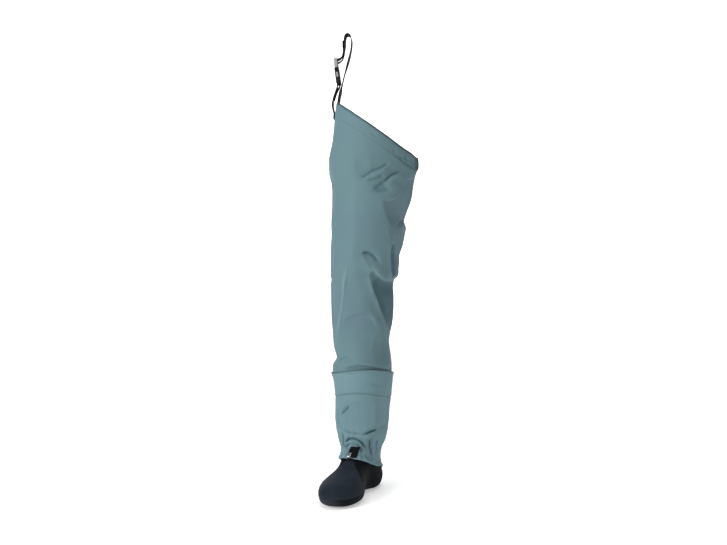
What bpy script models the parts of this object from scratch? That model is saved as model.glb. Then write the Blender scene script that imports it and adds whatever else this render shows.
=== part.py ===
"""One stockingfoot hip wader for the right leg, standing on its neoprene sock.

Tables and sizes are in millimetres and are turned into metres where a mesh is made.
The row frame has +Z up, +X to the inner side of the leg and the front of the leg along -Y.
The sock is built with its toe along -Y and is turned out to the lateral side by its parent empty.
"""

import math
from typing import NamedTuple

import bmesh
import bpy
from mathutils import Matrix, Vector

MM = 0.001
GAP = 0.3
AROUND = 36

# Sock sizes
FOOT_LENGTH = 285.0
HEEL_BEHIND_ANKLE = 60.0
TOE_OUT_DEG = 17.0
FOOT_SHIFT = 3.0
NEOPRENE = 5.0
TOE_SPRING = 8.0
TOE_SPRING_FROM = 165.0
ARCH_RISE = 1.2
ARCH_INNER_RISE = 12.5
ARCH_HALF_WIDTH = 40.0
ARCH_SPAN = (12.0, 94.0)
ARCH_FADE = (15.0, 47.0)
OUTLINE_POWER = 2.4
STATION_HEEL = 0.15
STATION_WAIST = 0.42
STATION_BALL = 0.70
TOE_LEAN = 15.0

# Leg sizes
SHELL_WALL = 1.2
HEM_STEP = 0.8
EDGE_MIDDLE = 821.0
EDGE_RISE = 62.0
EDGE_DIP = 8.0
LEVEL_TOP = 593.0
HEM_BAND = 33.0

# Guard sizes
GUARD_WALL = 1.2
GUARD_TOP = 261.0
HEM_AT_ANKLE = 52.0
HEM_SLOPE = 0.29
HEM_BEND = 0.0007
HEM_MIDDLE = 56.0
HUG_TOP = 122.0
ELASTIC_THICK = 1.5
ELASTIC_HIDDEN = 5.0
ELASTIC_SHOWN = 3.5

# Webbing, buckle and hook sizes
WEB_WIDTH = 25.0
WEB_THICK = 1.8
BUCKLE_WIDTH = 33.0
BUCKLE_THICK = 10.0
BUCKLE_TURN_DEG = -7.5
BUCKLE_FOOT = (-52.5, 927.0)
FEMALE_LENGTH = 37.0
MALE_LENGTH = 22.0
BAR_RADIUS = 2.2
TAB_WIDTH = 17.0
TAB_THICK = 2.4
TAB_LIFT = 0.8
TAB_SHARES = (0.008, 0.23)
TAB_TURN_DEG = 9.0
HOOK_WIDTH = 5.6
HOOK_THICK = 1.4


class FootRing(NamedTuple):
    """Outer ring of the sock: reach behind and before the ankle, heights at both ends, half widths, lean."""

    heel: float
    heel_z: float
    front: float
    front_z: float
    heel_half: float
    waist_half: float
    ball_half: float
    lean: float


class SoleRing(NamedTuple):
    """Ring of the sole under the seam: how far it lies inside the seam outline and above the floor."""

    inset: float
    rise: float


class Section(NamedTuple):
    """Section of a fabric tube: reaches from the leg axis to each side, turn, fullness and front taper."""

    height: float
    lateral: float
    medial: float
    front: float
    back: float
    turn: float
    full: float = 2.0
    taper: float = 0.0


class Fold(NamedTuple):
    """Soft trough or ridge on the front of the leg from one place to another, depth outward positive."""

    x0: float
    z0: float
    x1: float
    z1: float
    spread: float
    depth: float


class Finish(NamedTuple):
    """Surface of a material."""

    colour: tuple[float, float, float]
    roughness: float
    metallic: float


SOLE_RINGS = (
    SoleRing(31.0, 0.0),
    SoleRing(20.0, 0.0),
    SoleRing(12.8, 0.8),
    SoleRing(7.0, 3.1),
    SoleRing(2.6, 8.0),
)

# heel, heel_z, front, front_z, heel_half, waist_half, ball_half, lean
FOOT_RINGS = (
    FootRing(59.5, 15.0, 224.5, 21.0, 41.0, 38.5, 47.5, 0.0),
    FootRing(61.0, 24.0, 225.0, 29.0, 42.5, 40.0, 48.0, 0.0),
    FootRing(61.5, 33.0, 222.0, 36.5, 42.0, 39.5, 46.0, 1.5),
    FootRing(60.0, 42.0, 215.0, 43.0, 39.0, 38.0, 42.0, 4.0),
    FootRing(58.0, 50.0, 203.0, 48.0, 35.0, 36.0, 38.0, 6.5),
    FootRing(55.5, 57.0, 186.0, 52.0, 32.0, 34.0, 34.0, 8.5),
    FootRing(53.5, 64.0, 166.0, 56.0, 30.5, 33.0, 31.0, 9.5),
    FootRing(52.0, 71.0, 143.0, 60.0, 30.0, 32.5, 29.5, 9.5),
    FootRing(50.5, 79.0, 120.0, 65.5, 29.5, 32.5, 29.0, 8.5),
    FootRing(49.5, 87.0, 98.0, 74.0, 29.5, 33.0, 29.5, 7.0),
    FootRing(49.0, 97.0, 82.0, 86.0, 29.5, 34.5, 31.0, 5.5),
    FootRing(49.0, 108.0, 70.0, 101.0, 30.0, 36.5, 33.0, 4.0),
    FootRing(51.0, 125.0, 62.5, 121.0, 31.0, 39.0, 36.0, 2.0),
    FootRing(54.5, 145.0, 59.5, 144.0, 33.0, 42.0, 39.5, 0.5),
    FootRing(58.0, 165.0, 59.0, 165.0, 35.5, 45.0, 42.5, 0.0),
)

# height, lateral, medial, front, back, turn, full, taper
LEG_SECTIONS = (
    Section(151.0, 44.6, 50.4, 60.6, 61.4, -17.0, 2.55),
    Section(173.0, 45.8, 50.8, 61.2, 62.2, -16.0, 2.5),
    Section(203.0, 52.5, 53.5, 66.0, 66.5, -8.0, 2.2),
    Section(238.0, 60.0, 62.5, 73.5, 76.5, -2.0, 2.1),
    Section(261.0, 67.0, 69.3, 79.3, 83.3, 0.0),
    Section(275.0, 66.0, 68.5, 79.5, 84.5, 0.0),
    Section(289.0, 61.5, 67.0, 77.0, 85.5, 0.0),
    Section(303.0, 60.0, 66.0, 75.0, 86.5, 0.0),
    Section(329.0, 64.0, 62.5, 74.5, 88.0, 0.0),
    Section(356.0, 66.5, 64.5, 76.0, 89.0, 0.0),
    Section(384.0, 68.5, 69.0, 78.0, 88.5, 0.0),
    Section(411.0, 69.0, 71.3, 80.0, 86.0, 0.0),
    Section(439.0, 69.5, 71.3, 82.0, 83.0, 0.0),
    Section(466.0, 71.0, 69.5, 84.0, 80.5, 0.0),
    Section(480.0, 71.3, 75.5, 85.0, 80.5, 0.0),
    Section(498.0, 71.3, 83.5, 86.0, 82.0, 0.0),
    Section(522.0, 71.3, 84.0, 87.0, 84.5, 0.0),
    Section(549.0, 71.3, 89.5, 88.5, 88.0, 0.0),
    Section(577.0, 71.3, 96.5, 90.5, 91.5, 0.0),
    Section(593.0, 71.0, 98.5, 92.0, 94.0, 0.0),
    Section(615.0, 69.5, 97.0, 94.0, 97.0, 0.0),
    Section(638.0, 68.5, 104.0, 96.0, 100.0, 0.0),
    Section(660.0, 67.0, 112.0, 98.0, 103.0, 0.0),
    Section(687.0, 67.0, 115.5, 101.0, 106.5, 0.0),
    Section(715.0, 73.0, 121.5, 104.0, 110.0, 0.0),
    Section(743.0, 75.5, 126.5, 106.0, 112.0, 0.0),
    Section(771.0, 70.5, 128.0, 107.0, 113.0, 0.0),
    Section(803.0, 65.0, 127.0, 107.0, 113.0, 0.0),
    Section(843.0, 62.2, 123.0, 105.0, 110.0, 0.0),
    Section(885.0, 56.5, 118.0, 102.0, 107.0, 0.0),
)

# height of the middle of the ring, lateral, medial, front, back, turn, full, taper
GUARD_SECTIONS = (
    Section(56.0, 44.0, 44.5, 99.0, 65.0, -14.5, 2.4, 0.20),
    Section(65.0, 43.0, 43.5, 95.0, 63.0, -14.5, 2.4, 0.20),
    Section(77.0, 42.5, 43.5, 90.0, 62.0, -14.0, 2.4, 0.18),
    Section(92.0, 45.5, 45.5, 85.5, 61.5, -12.0, 2.3, 0.15),
    Section(110.0, 51.0, 50.5, 82.0, 64.5, -9.0, 2.2, 0.08),
    Section(131.0, 56.5, 56.0, 79.0, 69.0, -6.0, 2.25, 0.03),
    Section(153.0, 60.5, 60.0, 77.5, 73.0, -3.0, 2.15),
    Section(179.0, 61.5, 62.5, 77.0, 77.0, -1.0),
    Section(206.0, 62.0, 66.5, 78.0, 80.5, 0.0),
    Section(235.0, 64.5, 69.0, 79.5, 83.5, 0.0),
    Section(261.0, 69.0, 71.3, 81.3, 85.3, 0.0),
)

# x0, z0, x1, z1, spread, depth
LEG_FOLDS = (
    Fold(14.0, 493.0, 44.0, 423.0, 15.0, -7.0),
    Fold(40.0, 433.0, 64.0, 348.0, 12.0, -6.0),
    Fold(0.0, 538.0, 55.0, 513.0, 9.0, -4.0),
    Fold(-4.0, 715.0, 72.0, 745.0, 10.0, -4.0),
    Fold(46.0, 699.0, 100.0, 731.0, 10.0, -5.0),
    Fold(28.0, 679.0, 90.0, 691.0, 11.0, -4.0),
    Fold(-44.0, 463.0, -52.0, 323.0, 12.0, 2.5),
    Fold(-20.0, 276.0, 66.0, 274.0, 8.0, -4.5),
)

# heights of the rings of the leg as they would be under a level top
LEG_LEVELS = (
    151.0, 163.0, 177.0, 199.0, 223.0, 246.0, 259.0, 269.0, 281.0, 297.0, 315.0, 337.0, 363.0, 389.0, 415.0,
    441.0, 461.0, 475.0, 491.0, 509.0, 531.0, 555.0, 577.0, 597.0, 619.0, 643.0, 669.0, 695.0, 721.0, 747.0,
    771.0,
)

GUARD_LEVELS = (56.0, 63.0, 73.0, 85.0, 99.0, 115.0, 135.0, 159.0, 185.0, 211.0, 237.0, 261.0)

# x, z of the belt strap from its sewn end in the hip point to the end of its tail
BELT_ROUTE = (
    (-59.1, 835.0), (-57.4, 851.0), (-55.3, 867.0), (-53.2, 883.0), (-51.0, 898.0), (-46.6, 917.0),
    (-39.4, 948.0), (-31.6, 975.0), (-25.6, 998.0), (-22.8, 1017.0), (-22.9, 1029.0), (-26.2, 1038.2),
    (-31.8, 1041.0), (-36.2, 1038.4), (-38.4, 1031.0), (-39.0, 1021.0), (-39.3, 1007.0), (-40.9, 994.0),
    (-44.5, 983.5), (-51.0, 977.3),
)
BELT_TAIL = (
    (-50.5, 985.4), (-45.6, 989.6), (-43.2, 997.5), (-42.1, 1007.0), (-41.7, 1017.0), (-41.5, 1026.0),
)

# run, rise of the middle of the lace hook's bar
HOOK_PROFILE = (
    (-9.0, 0.0), (-4.0, 0.0), (0.0, 0.0), (2.8, 0.1), (5.2, 1.0), (6.6, 3.0), (6.2, 5.4), (4.2, 6.8),
    (1.2, 6.6),
)

# x, z of the anchor strap: out from the leg to the buckle, and back to where it is sewn to itself
ANCHOR_OUT = (
    (-63.7, 846.0), (-63.0, 852.0), (-62.6, 857.0), (-63.6, 863.0), (-65.6, 870.0), (-66.6, 879.0),
    (-65.8, 889.0), (-63.4, 900.0), (-59.4, 912.0), (-56.0, 921.0),
)
ANCHOR_BACK = (
    (-50.8, 920.0), (-55.0, 910.0), (-60.2, 897.4), (-62.4, 890.0),
)

SHELL_FINISH = Finish((0.145, 0.245, 0.275), 0.72, 0.0)
NEOPRENE_FINISH = Finish((0.018, 0.022, 0.028), 0.6, 0.0)
WEBBING_FINISH = Finish((0.012, 0.012, 0.014), 0.85, 0.0)
MALE_FINISH = Finish((0.30, 0.31, 0.32), 0.45, 0.0)
FEMALE_FINISH = Finish((0.02, 0.02, 0.022), 0.45, 0.0)
METAL_FINISH = Finish((0.62, 0.62, 0.63), 0.3, 1.0)

Point = Vector
Ring = list[Vector]


def clear_scene() -> None:
    """Removes every object that the scene starts with."""
    for item in list(bpy.data.objects):
        bpy.data.objects.remove(item, do_unlink=True)


def material(name: str, finish: Finish) -> bpy.types.Material:
    """A plain material with the finish's colour, roughness and metal share."""
    made = bpy.data.materials.new(name)
    made.use_nodes = True
    shader = made.node_tree.nodes["Principled BSDF"]
    shader.inputs["Base Color"].default_value = (*finish.colour, 1.0)
    shader.inputs["Roughness"].default_value = finish.roughness
    shader.inputs["Metallic"].default_value = finish.metallic
    made.diffuse_color = (*finish.colour, 1.0)
    return made


def empty(name: str, place: Vector, turn_deg: float, axis: str) -> bpy.types.Object:
    """An empty that carries a group of pieces at a place and a turn."""
    holder = bpy.data.objects.new(name, None)
    holder.location = place * MM
    setattr(holder.rotation_euler, axis, math.radians(turn_deg))
    bpy.context.collection.objects.link(holder)
    return holder


def mesh_object(
    name: str,
    points: Ring,
    faces: list[tuple[int, ...]],
    finish: Finish,
    parent: bpy.types.Object | None = None,
) -> bpy.types.Object:
    """An object from points in millimetres and faces, with its normals turned outward."""
    mesh = bpy.data.meshes.new(name)
    mesh.from_pydata([tuple(point * MM) for point in points], [], faces)
    work = bmesh.new()
    work.from_mesh(mesh)
    bmesh.ops.recalc_face_normals(work, faces=work.faces[:])
    bmesh.ops.triangulate(work, faces=work.faces[:], quad_method="SHORT_EDGE")
    work.to_mesh(mesh)
    work.free()
    made = bpy.data.objects.new(name, mesh)
    made.data.materials.append(material(name + "_finish", finish))
    bpy.context.collection.objects.link(made)
    made.parent = parent
    return made


def smoothstep(value: float) -> float:
    """Eased share between nought and one."""
    share = min(1.0, max(0.0, value))
    return share * share * (3.0 - 2.0 * share)


def row_at(rows: tuple[Section, ...], height: float) -> Section:
    """The section of a table at a height, on a smooth curve through the rows."""
    last = len(rows) - 2
    found = 0
    while found < last and rows[found + 1].height < height:
        found += 1
    low, high = rows[found], rows[found + 1]
    before, after = rows[max(found - 1, 0)], rows[min(found + 2, len(rows) - 1)]
    step = high.height - low.height
    share = min(1.0, max(0.0, (height - low.height) / step))
    square, cube = share * share, share * share * share
    values = []
    for column in range(1, len(low)):
        rise_low = (high[column] - before[column]) / (high.height - before.height) * step
        rise_high = (after[column] - low[column]) / (after.height - low.height) * step
        values.append(
            (2 * cube - 3 * square + 1) * low[column]
            + (cube - 2 * square + share) * rise_low
            + (3 * square - 2 * cube) * high[column]
            + (cube - square) * rise_high
        )
    return Section(height, *values)


def section_point(row: Section, angle: float, height: float, grow: float = 0.0) -> Point:
    """A point of an oval section: angle 0 is the inner side and a quarter turn is the back."""
    centre_x = (row.medial - row.lateral) / 2.0
    centre_y = (row.back - row.front) / 2.0
    across = (row.medial + row.lateral) / 2.0 + grow
    along = (row.back + row.front) / 2.0 + grow
    power = 2.0 / row.full
    narrow = 1.0 - row.taper * max(0.0, -math.sin(angle))
    x = centre_x + narrow * across * math.copysign(abs(math.cos(angle)) ** power, math.cos(angle))
    y = centre_y + along * math.copysign(abs(math.sin(angle)) ** power, math.sin(angle))
    turn = math.radians(row.turn)
    cos, sin = math.cos(turn), math.sin(turn)
    return Vector((x * cos - y * sin, x * sin + y * cos, height))


def angles(start: float = 0.0) -> list[float]:
    """Angles of the points of a ring from a first angle."""
    return [start + 2.0 * math.pi * index / AROUND for index in range(AROUND)]


def grid_normals(rings: list[Ring]) -> list[Ring]:
    """Outward directions of a grid of rings that run counterclockwise and climb."""
    count = len(rings[0])
    found = []
    for level, ring in enumerate(rings):
        below, above = rings[max(level - 1, 0)], rings[min(level + 1, len(rings) - 1)]
        row = []
        for index in range(count):
            round_way = ring[(index + 1) % count] - ring[index - 1]
            up_way = above[index] - below[index]
            row.append(round_way.cross(up_way).normalized())
        found.append(row)
    return found


def moved(rings: list[Ring], normals: list[Ring], distance: float) -> list[Ring]:
    """The rings moved along their outward directions."""
    return [
        [point + normal * distance for point, normal in zip(ring, row)] for ring, row in zip(rings, normals)
    ]


def side_faces(levels: int, count: int, start: int) -> list[tuple[int, ...]]:
    """Quads between rings stored one after another from a start index."""
    faces = []
    for level in range(levels - 1):
        low, high = start + level * count, start + (level + 1) * count
        for index in range(count):
            after = (index + 1) % count
            faces.append((low + index, low + after, high + after, high + index))
    return faces


def rim_faces(outer: int, inner: int, count: int) -> list[tuple[int, ...]]:
    """Quads that join an outer ring to an inner ring."""
    return [
        (outer + index, outer + (index + 1) % count, inner + (index + 1) % count, inner + index)
        for index in range(count)
    ]


def wall_object(
    name: str, outer: list[Ring], inner: list[Ring], finish: Finish, parent: bpy.types.Object | None = None
) -> bpy.types.Object:
    """A tube with a wall, open at both ends, from its outer and inner rings."""
    count, levels = len(outer[0]), len(outer)
    start = levels * count
    last = (levels - 1) * count
    faces = side_faces(levels, count, 0) + side_faces(levels, count, start)
    faces += rim_faces(0, start, count) + rim_faces(last, start + last, count)
    points = [point for ring in outer + inner for point in ring]
    return mesh_object(name, points, faces, finish, parent)


def patch_object(
    name: str, outer: list[Ring], inner: list[Ring], finish: Finish, parent: bpy.types.Object | None = None
) -> bpy.types.Object:
    """A closed slab from an outer and an inner grid of points with free edges."""
    rows, columns = len(outer), len(outer[0])
    start = rows * columns
    faces = []
    for base in (0, start):
        for row in range(rows - 1):
            for column in range(columns - 1):
                here = base + row * columns + column
                faces.append((here, here + 1, here + columns + 1, here + columns))
    border = [column for column in range(columns)]
    border += [row * columns + columns - 1 for row in range(1, rows)]
    border += [(rows - 1) * columns + column for column in range(columns - 2, -1, -1)]
    border += [row * columns for row in range(rows - 2, 0, -1)]
    for here, after in zip(border, border[1:] + border[:1]):
        faces.append((here, after, start + after, start + here))
    points = [point for row in outer + inner for point in row]
    return mesh_object(name, points, faces, finish, parent)


def end_round(share: float) -> float:
    """How full the sock's outline is at a share of its length."""
    off = abs(2.0 * share - 1.0)
    return max(0.0, 1.0 - off**OUTLINE_POWER) ** (1.0 / OUTLINE_POWER)


def half_width(ring: FootRing, share: float) -> float:
    """Half width of a ring of the sock at a share of its length, through heel, waist and ball."""
    halves = (ring.heel_half, ring.waist_half, ring.ball_half)
    stations = zip((STATION_HEEL, STATION_WAIST, STATION_BALL), halves)
    full = [(place, half / end_round(place)) for place, half in stations]
    if share <= full[0][0]:
        return full[0][1] * end_round(share)
    if share >= full[-1][0]:
        return full[-1][1] * end_round(share)
    low, high = (full[0], full[1]) if share < full[1][0] else (full[1], full[2])
    eased = smoothstep((share - low[0]) / (high[0] - low[0]))
    return (low[1] + (high[1] - low[1]) * eased) * end_round(share)


def foot_outline(ring: FootRing, angle: float) -> tuple[float, float, float]:
    """Share of the length, forward place and place across of a point of a ring of the sock."""
    share = (1.0 - math.cos(angle)) / 2.0
    forward = -ring.heel + share * (ring.heel + ring.front)
    side = -1.0 if 0.0 < angle < math.pi else 1.0
    middle = TOE_LEAN * (smoothstep((forward - 60.0) / 160.0) - 0.35 * smoothstep((forward - 20.0) / 60.0))
    middle += ring.lean * smoothstep((forward + 20.0) / 110.0)
    edge = 0.0 if abs(math.sin(angle)) < 1e-6 else side * half_width(ring, share)
    return share, forward, middle + edge


def arch_height(forward: float, across: float) -> float:
    """Rise of the arch between heel and ball, most at the inner side."""
    start, stop = ARCH_SPAN
    span = (forward - start) / (stop - start)
    if not 0.0 < span < 1.0:
        return 0.0
    inner = max(0.0, across / ARCH_HALF_WIDTH)
    return (ARCH_RISE + ARCH_INNER_RISE * inner**3) * math.sin(math.pi * span) ** 2


def floor_height(forward: float, across: float) -> float:
    """Height of the underside of the sole over the floor: flat heel, arch, flat forefoot, toe spring."""
    past = max(0.0, forward - TOE_SPRING_FROM) / (FOOT_LENGTH - HEEL_BEHIND_ANKLE - TOE_SPRING_FROM)
    return arch_height(forward, across) + TOE_SPRING * past * past


def sole_ring(row: SoleRing) -> Ring:
    """A ring of the sole inside the seam outline."""
    seam = FOOT_RINGS[0]
    ring = seam._replace(
        heel=seam.heel - row.inset,
        front=seam.front - row.inset,
        heel_half=seam.heel_half - row.inset,
        waist_half=seam.waist_half - row.inset,
        ball_half=seam.ball_half - row.inset,
    )
    points = []
    for angle in angles():
        _, forward, across = foot_outline(ring, angle)
        points.append(Vector((across, -forward, floor_height(forward, across) + row.rise)))
    return points


def upper_ring(ring: FootRing) -> Ring:
    """A ring of the sock at or over the seam, which rises over the arch."""
    points = []
    low, high = ARCH_FADE
    for angle in angles():
        share, forward, across = foot_outline(ring, angle)
        height = ring.heel_z + (ring.front_z - ring.heel_z) * share
        arch = arch_height(forward, across) * min(1.0, max(0.0, (high - height) / (high - low)))
        points.append(Vector((across, -forward, height + arch)))
    return points


def strip_faces(start: int, count: int) -> list[tuple[int, ...]]:
    """Faces that close a long ring by joining each point to the one across it."""
    faces = [(start, start + 1, start + count - 1)]
    half = count // 2
    for index in range(1, half - 1):
        faces.append((start + index, start + index + 1, start + count - index - 1, start + count - index))
    faces.append((start + half - 1, start + half, start + half + 1))
    return faces


def build_sock(holder: bpy.types.Object) -> None:
    """The sole and the upper of the sock, cut from one form at the seam."""
    rings = [sole_ring(row) for row in SOLE_RINGS] + [upper_ring(row) for row in FOOT_RINGS]
    normals = grid_normals(rings)
    inside = moved(rings, normals, -NEOPRENE)
    seam = len(SOLE_RINGS)
    outer, inner = rings[: seam + 1], inside[: seam + 1]
    start = len(outer) * AROUND
    last = (len(outer) - 1) * AROUND
    faces = side_faces(len(outer), AROUND, 0) + side_faces(len(inner), AROUND, start)
    faces += strip_faces(0, AROUND) + strip_faces(start, AROUND) + rim_faces(last, start + last, AROUND)
    mesh_object("bootie_sole", [p for ring in outer + inner for p in ring], faces, NEOPRENE_FINISH, holder)
    lift = Vector((0.0, 0.0, GAP))
    outer = [[point + lift for point in rings[seam]]] + rings[seam + 1 :]
    inner = [[point + lift for point in inside[seam]]] + inside[seam + 1 :]
    wall_object("bootie_upper", outer, inner, NEOPRENE_FINISH, holder)


def edge_height(angle: float) -> float:
    """Height of the slanted top edge of the leg at an angle."""
    dip = EDGE_DIP * math.sin(angle) ** 2 * (1.0 + 0.8 * math.cos(angle))
    return EDGE_MIDDLE - EDGE_RISE * math.cos(angle) - dip


def leg_height(level: float, angle: float) -> float:
    """Height of a point of a leg ring: level below, slanted with the edge at the top."""
    slant = smoothstep((level - LEVEL_TOP) / (EDGE_MIDDLE - LEVEL_TOP))
    return level + (edge_height(angle) - EDGE_MIDDLE) * slant


def fold_depth(x: float, z: float) -> float:
    """How far the folds move the front of the leg at a place, outward positive."""
    total = 0.0
    for fold in LEG_FOLDS:
        run = Vector((fold.x1 - fold.x0, fold.z1 - fold.z0))
        place = Vector((x - fold.x0, z - fold.z0))
        share = min(1.0, max(0.0, place.dot(run) / run.length_squared))
        distance = (place - run * share).length
        total += fold.depth * math.exp(-((distance / fold.spread) ** 2))
    return total


def leg_point(level: float, angle: float, grow: float = 0.0) -> Point:
    """A point of the outside of the leg."""
    height = leg_height(level, angle)
    point = section_point(row_at(LEG_SECTIONS, height), angle, height, grow)
    if math.sin(angle) < 0.0:
        facing = min(1.0, -2.5 * math.sin(angle))
        point.y -= fold_depth(point.x, height) * facing
    return point


def build_leg() -> None:
    """The leg shell with its hem stepped up at the slanted top."""
    hem_low = EDGE_MIDDLE - HEM_BAND
    levels = [(level, 0.0) for level in LEG_LEVELS]
    levels.append((hem_low - 1.5, 0.0))
    levels += [(hem_low + HEM_BAND * share, HEM_STEP) for share in (0.0, 0.5, 1.0)]
    plain = [[leg_point(level, angle) for angle in angles()] for level, _ in levels]
    outer = [[leg_point(level, angle, step) for angle in angles()] for level, step in levels]
    inner = moved(plain, grid_normals(plain), -SHELL_WALL)
    wall_object("leg_shell", outer, inner, SHELL_FINISH)


def hem_height(forward: float) -> float:
    """Height of the hem of the guard at a forward place: high over the instep and low at the heel."""
    return HEM_AT_ANKLE + HEM_SLOPE * forward + HEM_BEND * forward * forward


def sock_place(angle: float, lift: float) -> Point:
    """A point of the outside of the sock at a height over the hem, in the row frame, angle from the heel."""
    column = []
    for ring in FOOT_RINGS:
        share, forward, across = foot_outline(ring, angle % (2.0 * math.pi))
        height = ring.heel_z + (ring.front_z - ring.heel_z) * share
        column.append((height - hem_height(forward) - lift, Vector((across, -forward, height))))
    found = 0
    while found < len(column) - 2 and column[found + 1][0] < 0.0:
        found += 1
    low, high = column[found], column[found + 1]
    place = low[1].lerp(high[1], min(1.0, max(0.0, -low[0] / (high[0] - low[0]))))
    turned = Matrix.Rotation(math.radians(-TOE_OUT_DEG), 3, "Z") @ place
    return turned + Vector((FOOT_SHIFT, 0.0, 0.0))


def around_sock(lift: float, angle: float, stand: float) -> Point:
    """A point of a ring that stands off the sock at a height over the hem, angle as on the leg."""
    turn = angle - math.pi / 2.0
    step = 0.05
    along = sock_place(turn + step, lift) - sock_place(turn - step, lift)
    outward = Vector((along.y, -along.x, 0.0)).normalized()
    return sock_place(turn, lift) + outward * stand


def guard_point(level: float, angle: float) -> Point:
    """A point of the outside of the guard: round the sock at the hem, oval further up."""
    oval = section_point(row_at(GUARD_SECTIONS, level), angle, level)
    hug = around_sock(level - HEM_MIDDLE, angle, ELASTIC_THICK + GUARD_WALL + 7.0 * GAP)
    return hug.lerp(oval, smoothstep((level - HEM_MIDDLE) / (HUG_TOP - HEM_MIDDLE)))


def build_guard() -> None:
    """The guard sleeve, and the elastic that shows under its hem."""
    turns = angles(math.pi / 2.0)
    outer = [[guard_point(level, angle) for angle in turns] for level in GUARD_LEVELS]
    inner = moved(outer, grid_normals(outer), -GUARD_WALL)
    wall_object("gravel_guard", outer, inner, SHELL_FINISH)
    lifts = (-ELASTIC_SHOWN, 0.5, ELASTIC_HIDDEN)
    outside = [[around_sock(lift, angle, ELASTIC_THICK + 2.0 * GAP) for angle in turns] for lift in lifts]
    inside = [[around_sock(lift, angle, 2.0 * GAP) for angle in turns] for lift in lifts]
    wall_object("hem_elastic", outside, inside, WEBBING_FINISH)


def build_hook() -> None:
    """The webbing tab on the front of the guard and the metal hook on its lower end."""
    columns, rows = 7, 6
    front = -math.pi / 2.0 + math.radians(TAB_TURN_DEG)
    reach = 0.5 * TAB_WIDTH / 42.0
    shares = [TAB_SHARES[0] + (TAB_SHARES[1] - TAB_SHARES[0]) * row / (rows - 1) for row in range(rows)]
    spread = [front + reach * (2.0 * column / (columns - 1) - 1.0) for column in range(columns)]

    def sheet(lift: float) -> list[Ring]:
        """A grid of points over the guard's front at a height over its surface."""
        grid = []
        for share in shares:
            level = HEM_MIDDLE + (GUARD_TOP - HEM_MIDDLE) * share
            row = []
            for angle in spread:
                here = guard_point(level, angle)
                ahead = guard_point(level + 1.0, angle) - guard_point(level - 1.0, angle)
                beside = guard_point(level, angle + 0.02) - guard_point(level, angle - 0.02)
                row.append(here + beside.cross(ahead).normalized() * lift)
            grid.append(row)
        return grid

    low = sheet(TAB_LIFT)
    high = sheet(TAB_LIFT + TAB_THICK)
    patch_object("hook_tab", high, low, WEBBING_FINISH)
    outer = 1
    foot, head = high[0][outer], high[3][outer]
    along = (foot - head).normalized()
    across = (high[0][outer + 1] - high[0][outer - 1]).normalized()
    out = across.cross(-along).normalized()
    if out.y > 0.0:
        out = -out
    lift = GAP + HOOK_THICK / 2.0
    route = [foot + along * run + out * (lift + rise) for run, rise in HOOK_PROFILE]
    bar_object("lace_hook", route, across, HOOK_WIDTH, HOOK_THICK, METAL_FINISH)


def smooth_route(points: tuple[tuple[float, float], ...], steps: int) -> list[tuple[float, float]]:
    """A smooth run of places through route points."""
    run = []
    for index in range(len(points) - 1):
        before, low = points[max(index - 1, 0)], points[index]
        high, after = points[index + 1], points[min(index + 2, len(points) - 1)]
        for step in range(steps):
            share = step / steps
            place = []
            for axis in range(2):
                a, b, c, d = before[axis], low[axis], high[axis], after[axis]
                place.append(
                    0.5 * (2 * b + (c - a) * share + (2 * a - 5 * b + 4 * c - d) * share**2
                           + (3 * b - a - 3 * c + d) * share**3)
                )
            run.append((place[0], place[1]))
    run.append(points[-1])
    return run


def bar_object(
    name: str, route: list[Vector], across: Vector, width: float, thick: float, finish: Finish,
    parent: bpy.types.Object | None = None,
) -> bpy.types.Object:
    """A flat bar of a width and thickness along a route that lies in one plane."""
    points: Ring = []
    for index, place in enumerate(route):
        ahead = route[min(index + 1, len(route) - 1)] - route[max(index - 1, 0)]
        face = across.cross(ahead).normalized()
        for side, up in ((-1, -1), (1, -1), (1, 1), (-1, 1)):
            points.append(place + across * (side * width / 2.0) + face * (up * thick / 2.0))
    last = 4 * (len(route) - 1)
    faces = side_faces(len(route), 4, 0) + [(0, 1, 2, 3), (last, last + 1, last + 2, last + 3)]
    return mesh_object(name, points, faces, finish, parent)


def buckle_place(across: float, along: float) -> tuple[float, float]:
    """Row place x, z of a point of the buckle given in its own thickness and length axes."""
    turn = math.radians(-BUCKLE_TURN_DEG)
    x = BUCKLE_FOOT[0] + across * math.cos(turn) - along * math.sin(turn)
    return x, BUCKLE_FOOT[1] + across * math.sin(turn) + along * math.cos(turn)


def round_bar(along: float, start_deg: float, stop_deg: float, steps: int) -> list[tuple[float, float]]:
    """Places of webbing that wraps a bar of the buckle from one direction to another."""
    reach = BAR_RADIUS + GAP + WEB_THICK / 2.0
    run = []
    for step in range(steps + 1):
        turn = math.radians(start_deg + (stop_deg - start_deg) * step / steps)
        run.append(buckle_place(reach * math.cos(turn), along + reach * math.sin(turn)))
    return run


def build_straps() -> None:
    """The belt strap with its tail, and the short anchor strap."""
    width_way = Vector((0.0, 1.0, 0.0))
    male_bar = FEMALE_LENGTH + MALE_LENGTH - 7.0
    belt = smooth_route(BELT_ROUTE, 2)
    belt += round_bar(male_bar, -70.0, -290.0, 8)
    belt += smooth_route(BELT_TAIL, 2)
    route = [Vector((x, 0.0, z)) for x, z in belt]
    bar_object("belt_strap", route, width_way, WEB_WIDTH, WEB_THICK, WEBBING_FINISH)
    anchor = smooth_route(ANCHOR_OUT, 2)
    anchor += round_bar(4.0, 200.0, -20.0, 8)
    anchor += smooth_route(ANCHOR_BACK, 2)
    route = [Vector((x, 0.0, z)) for x, z in anchor]
    bar_object("anchor_strap", route, width_way, WEB_WIDTH, WEB_THICK, WEBBING_FINISH)


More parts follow.
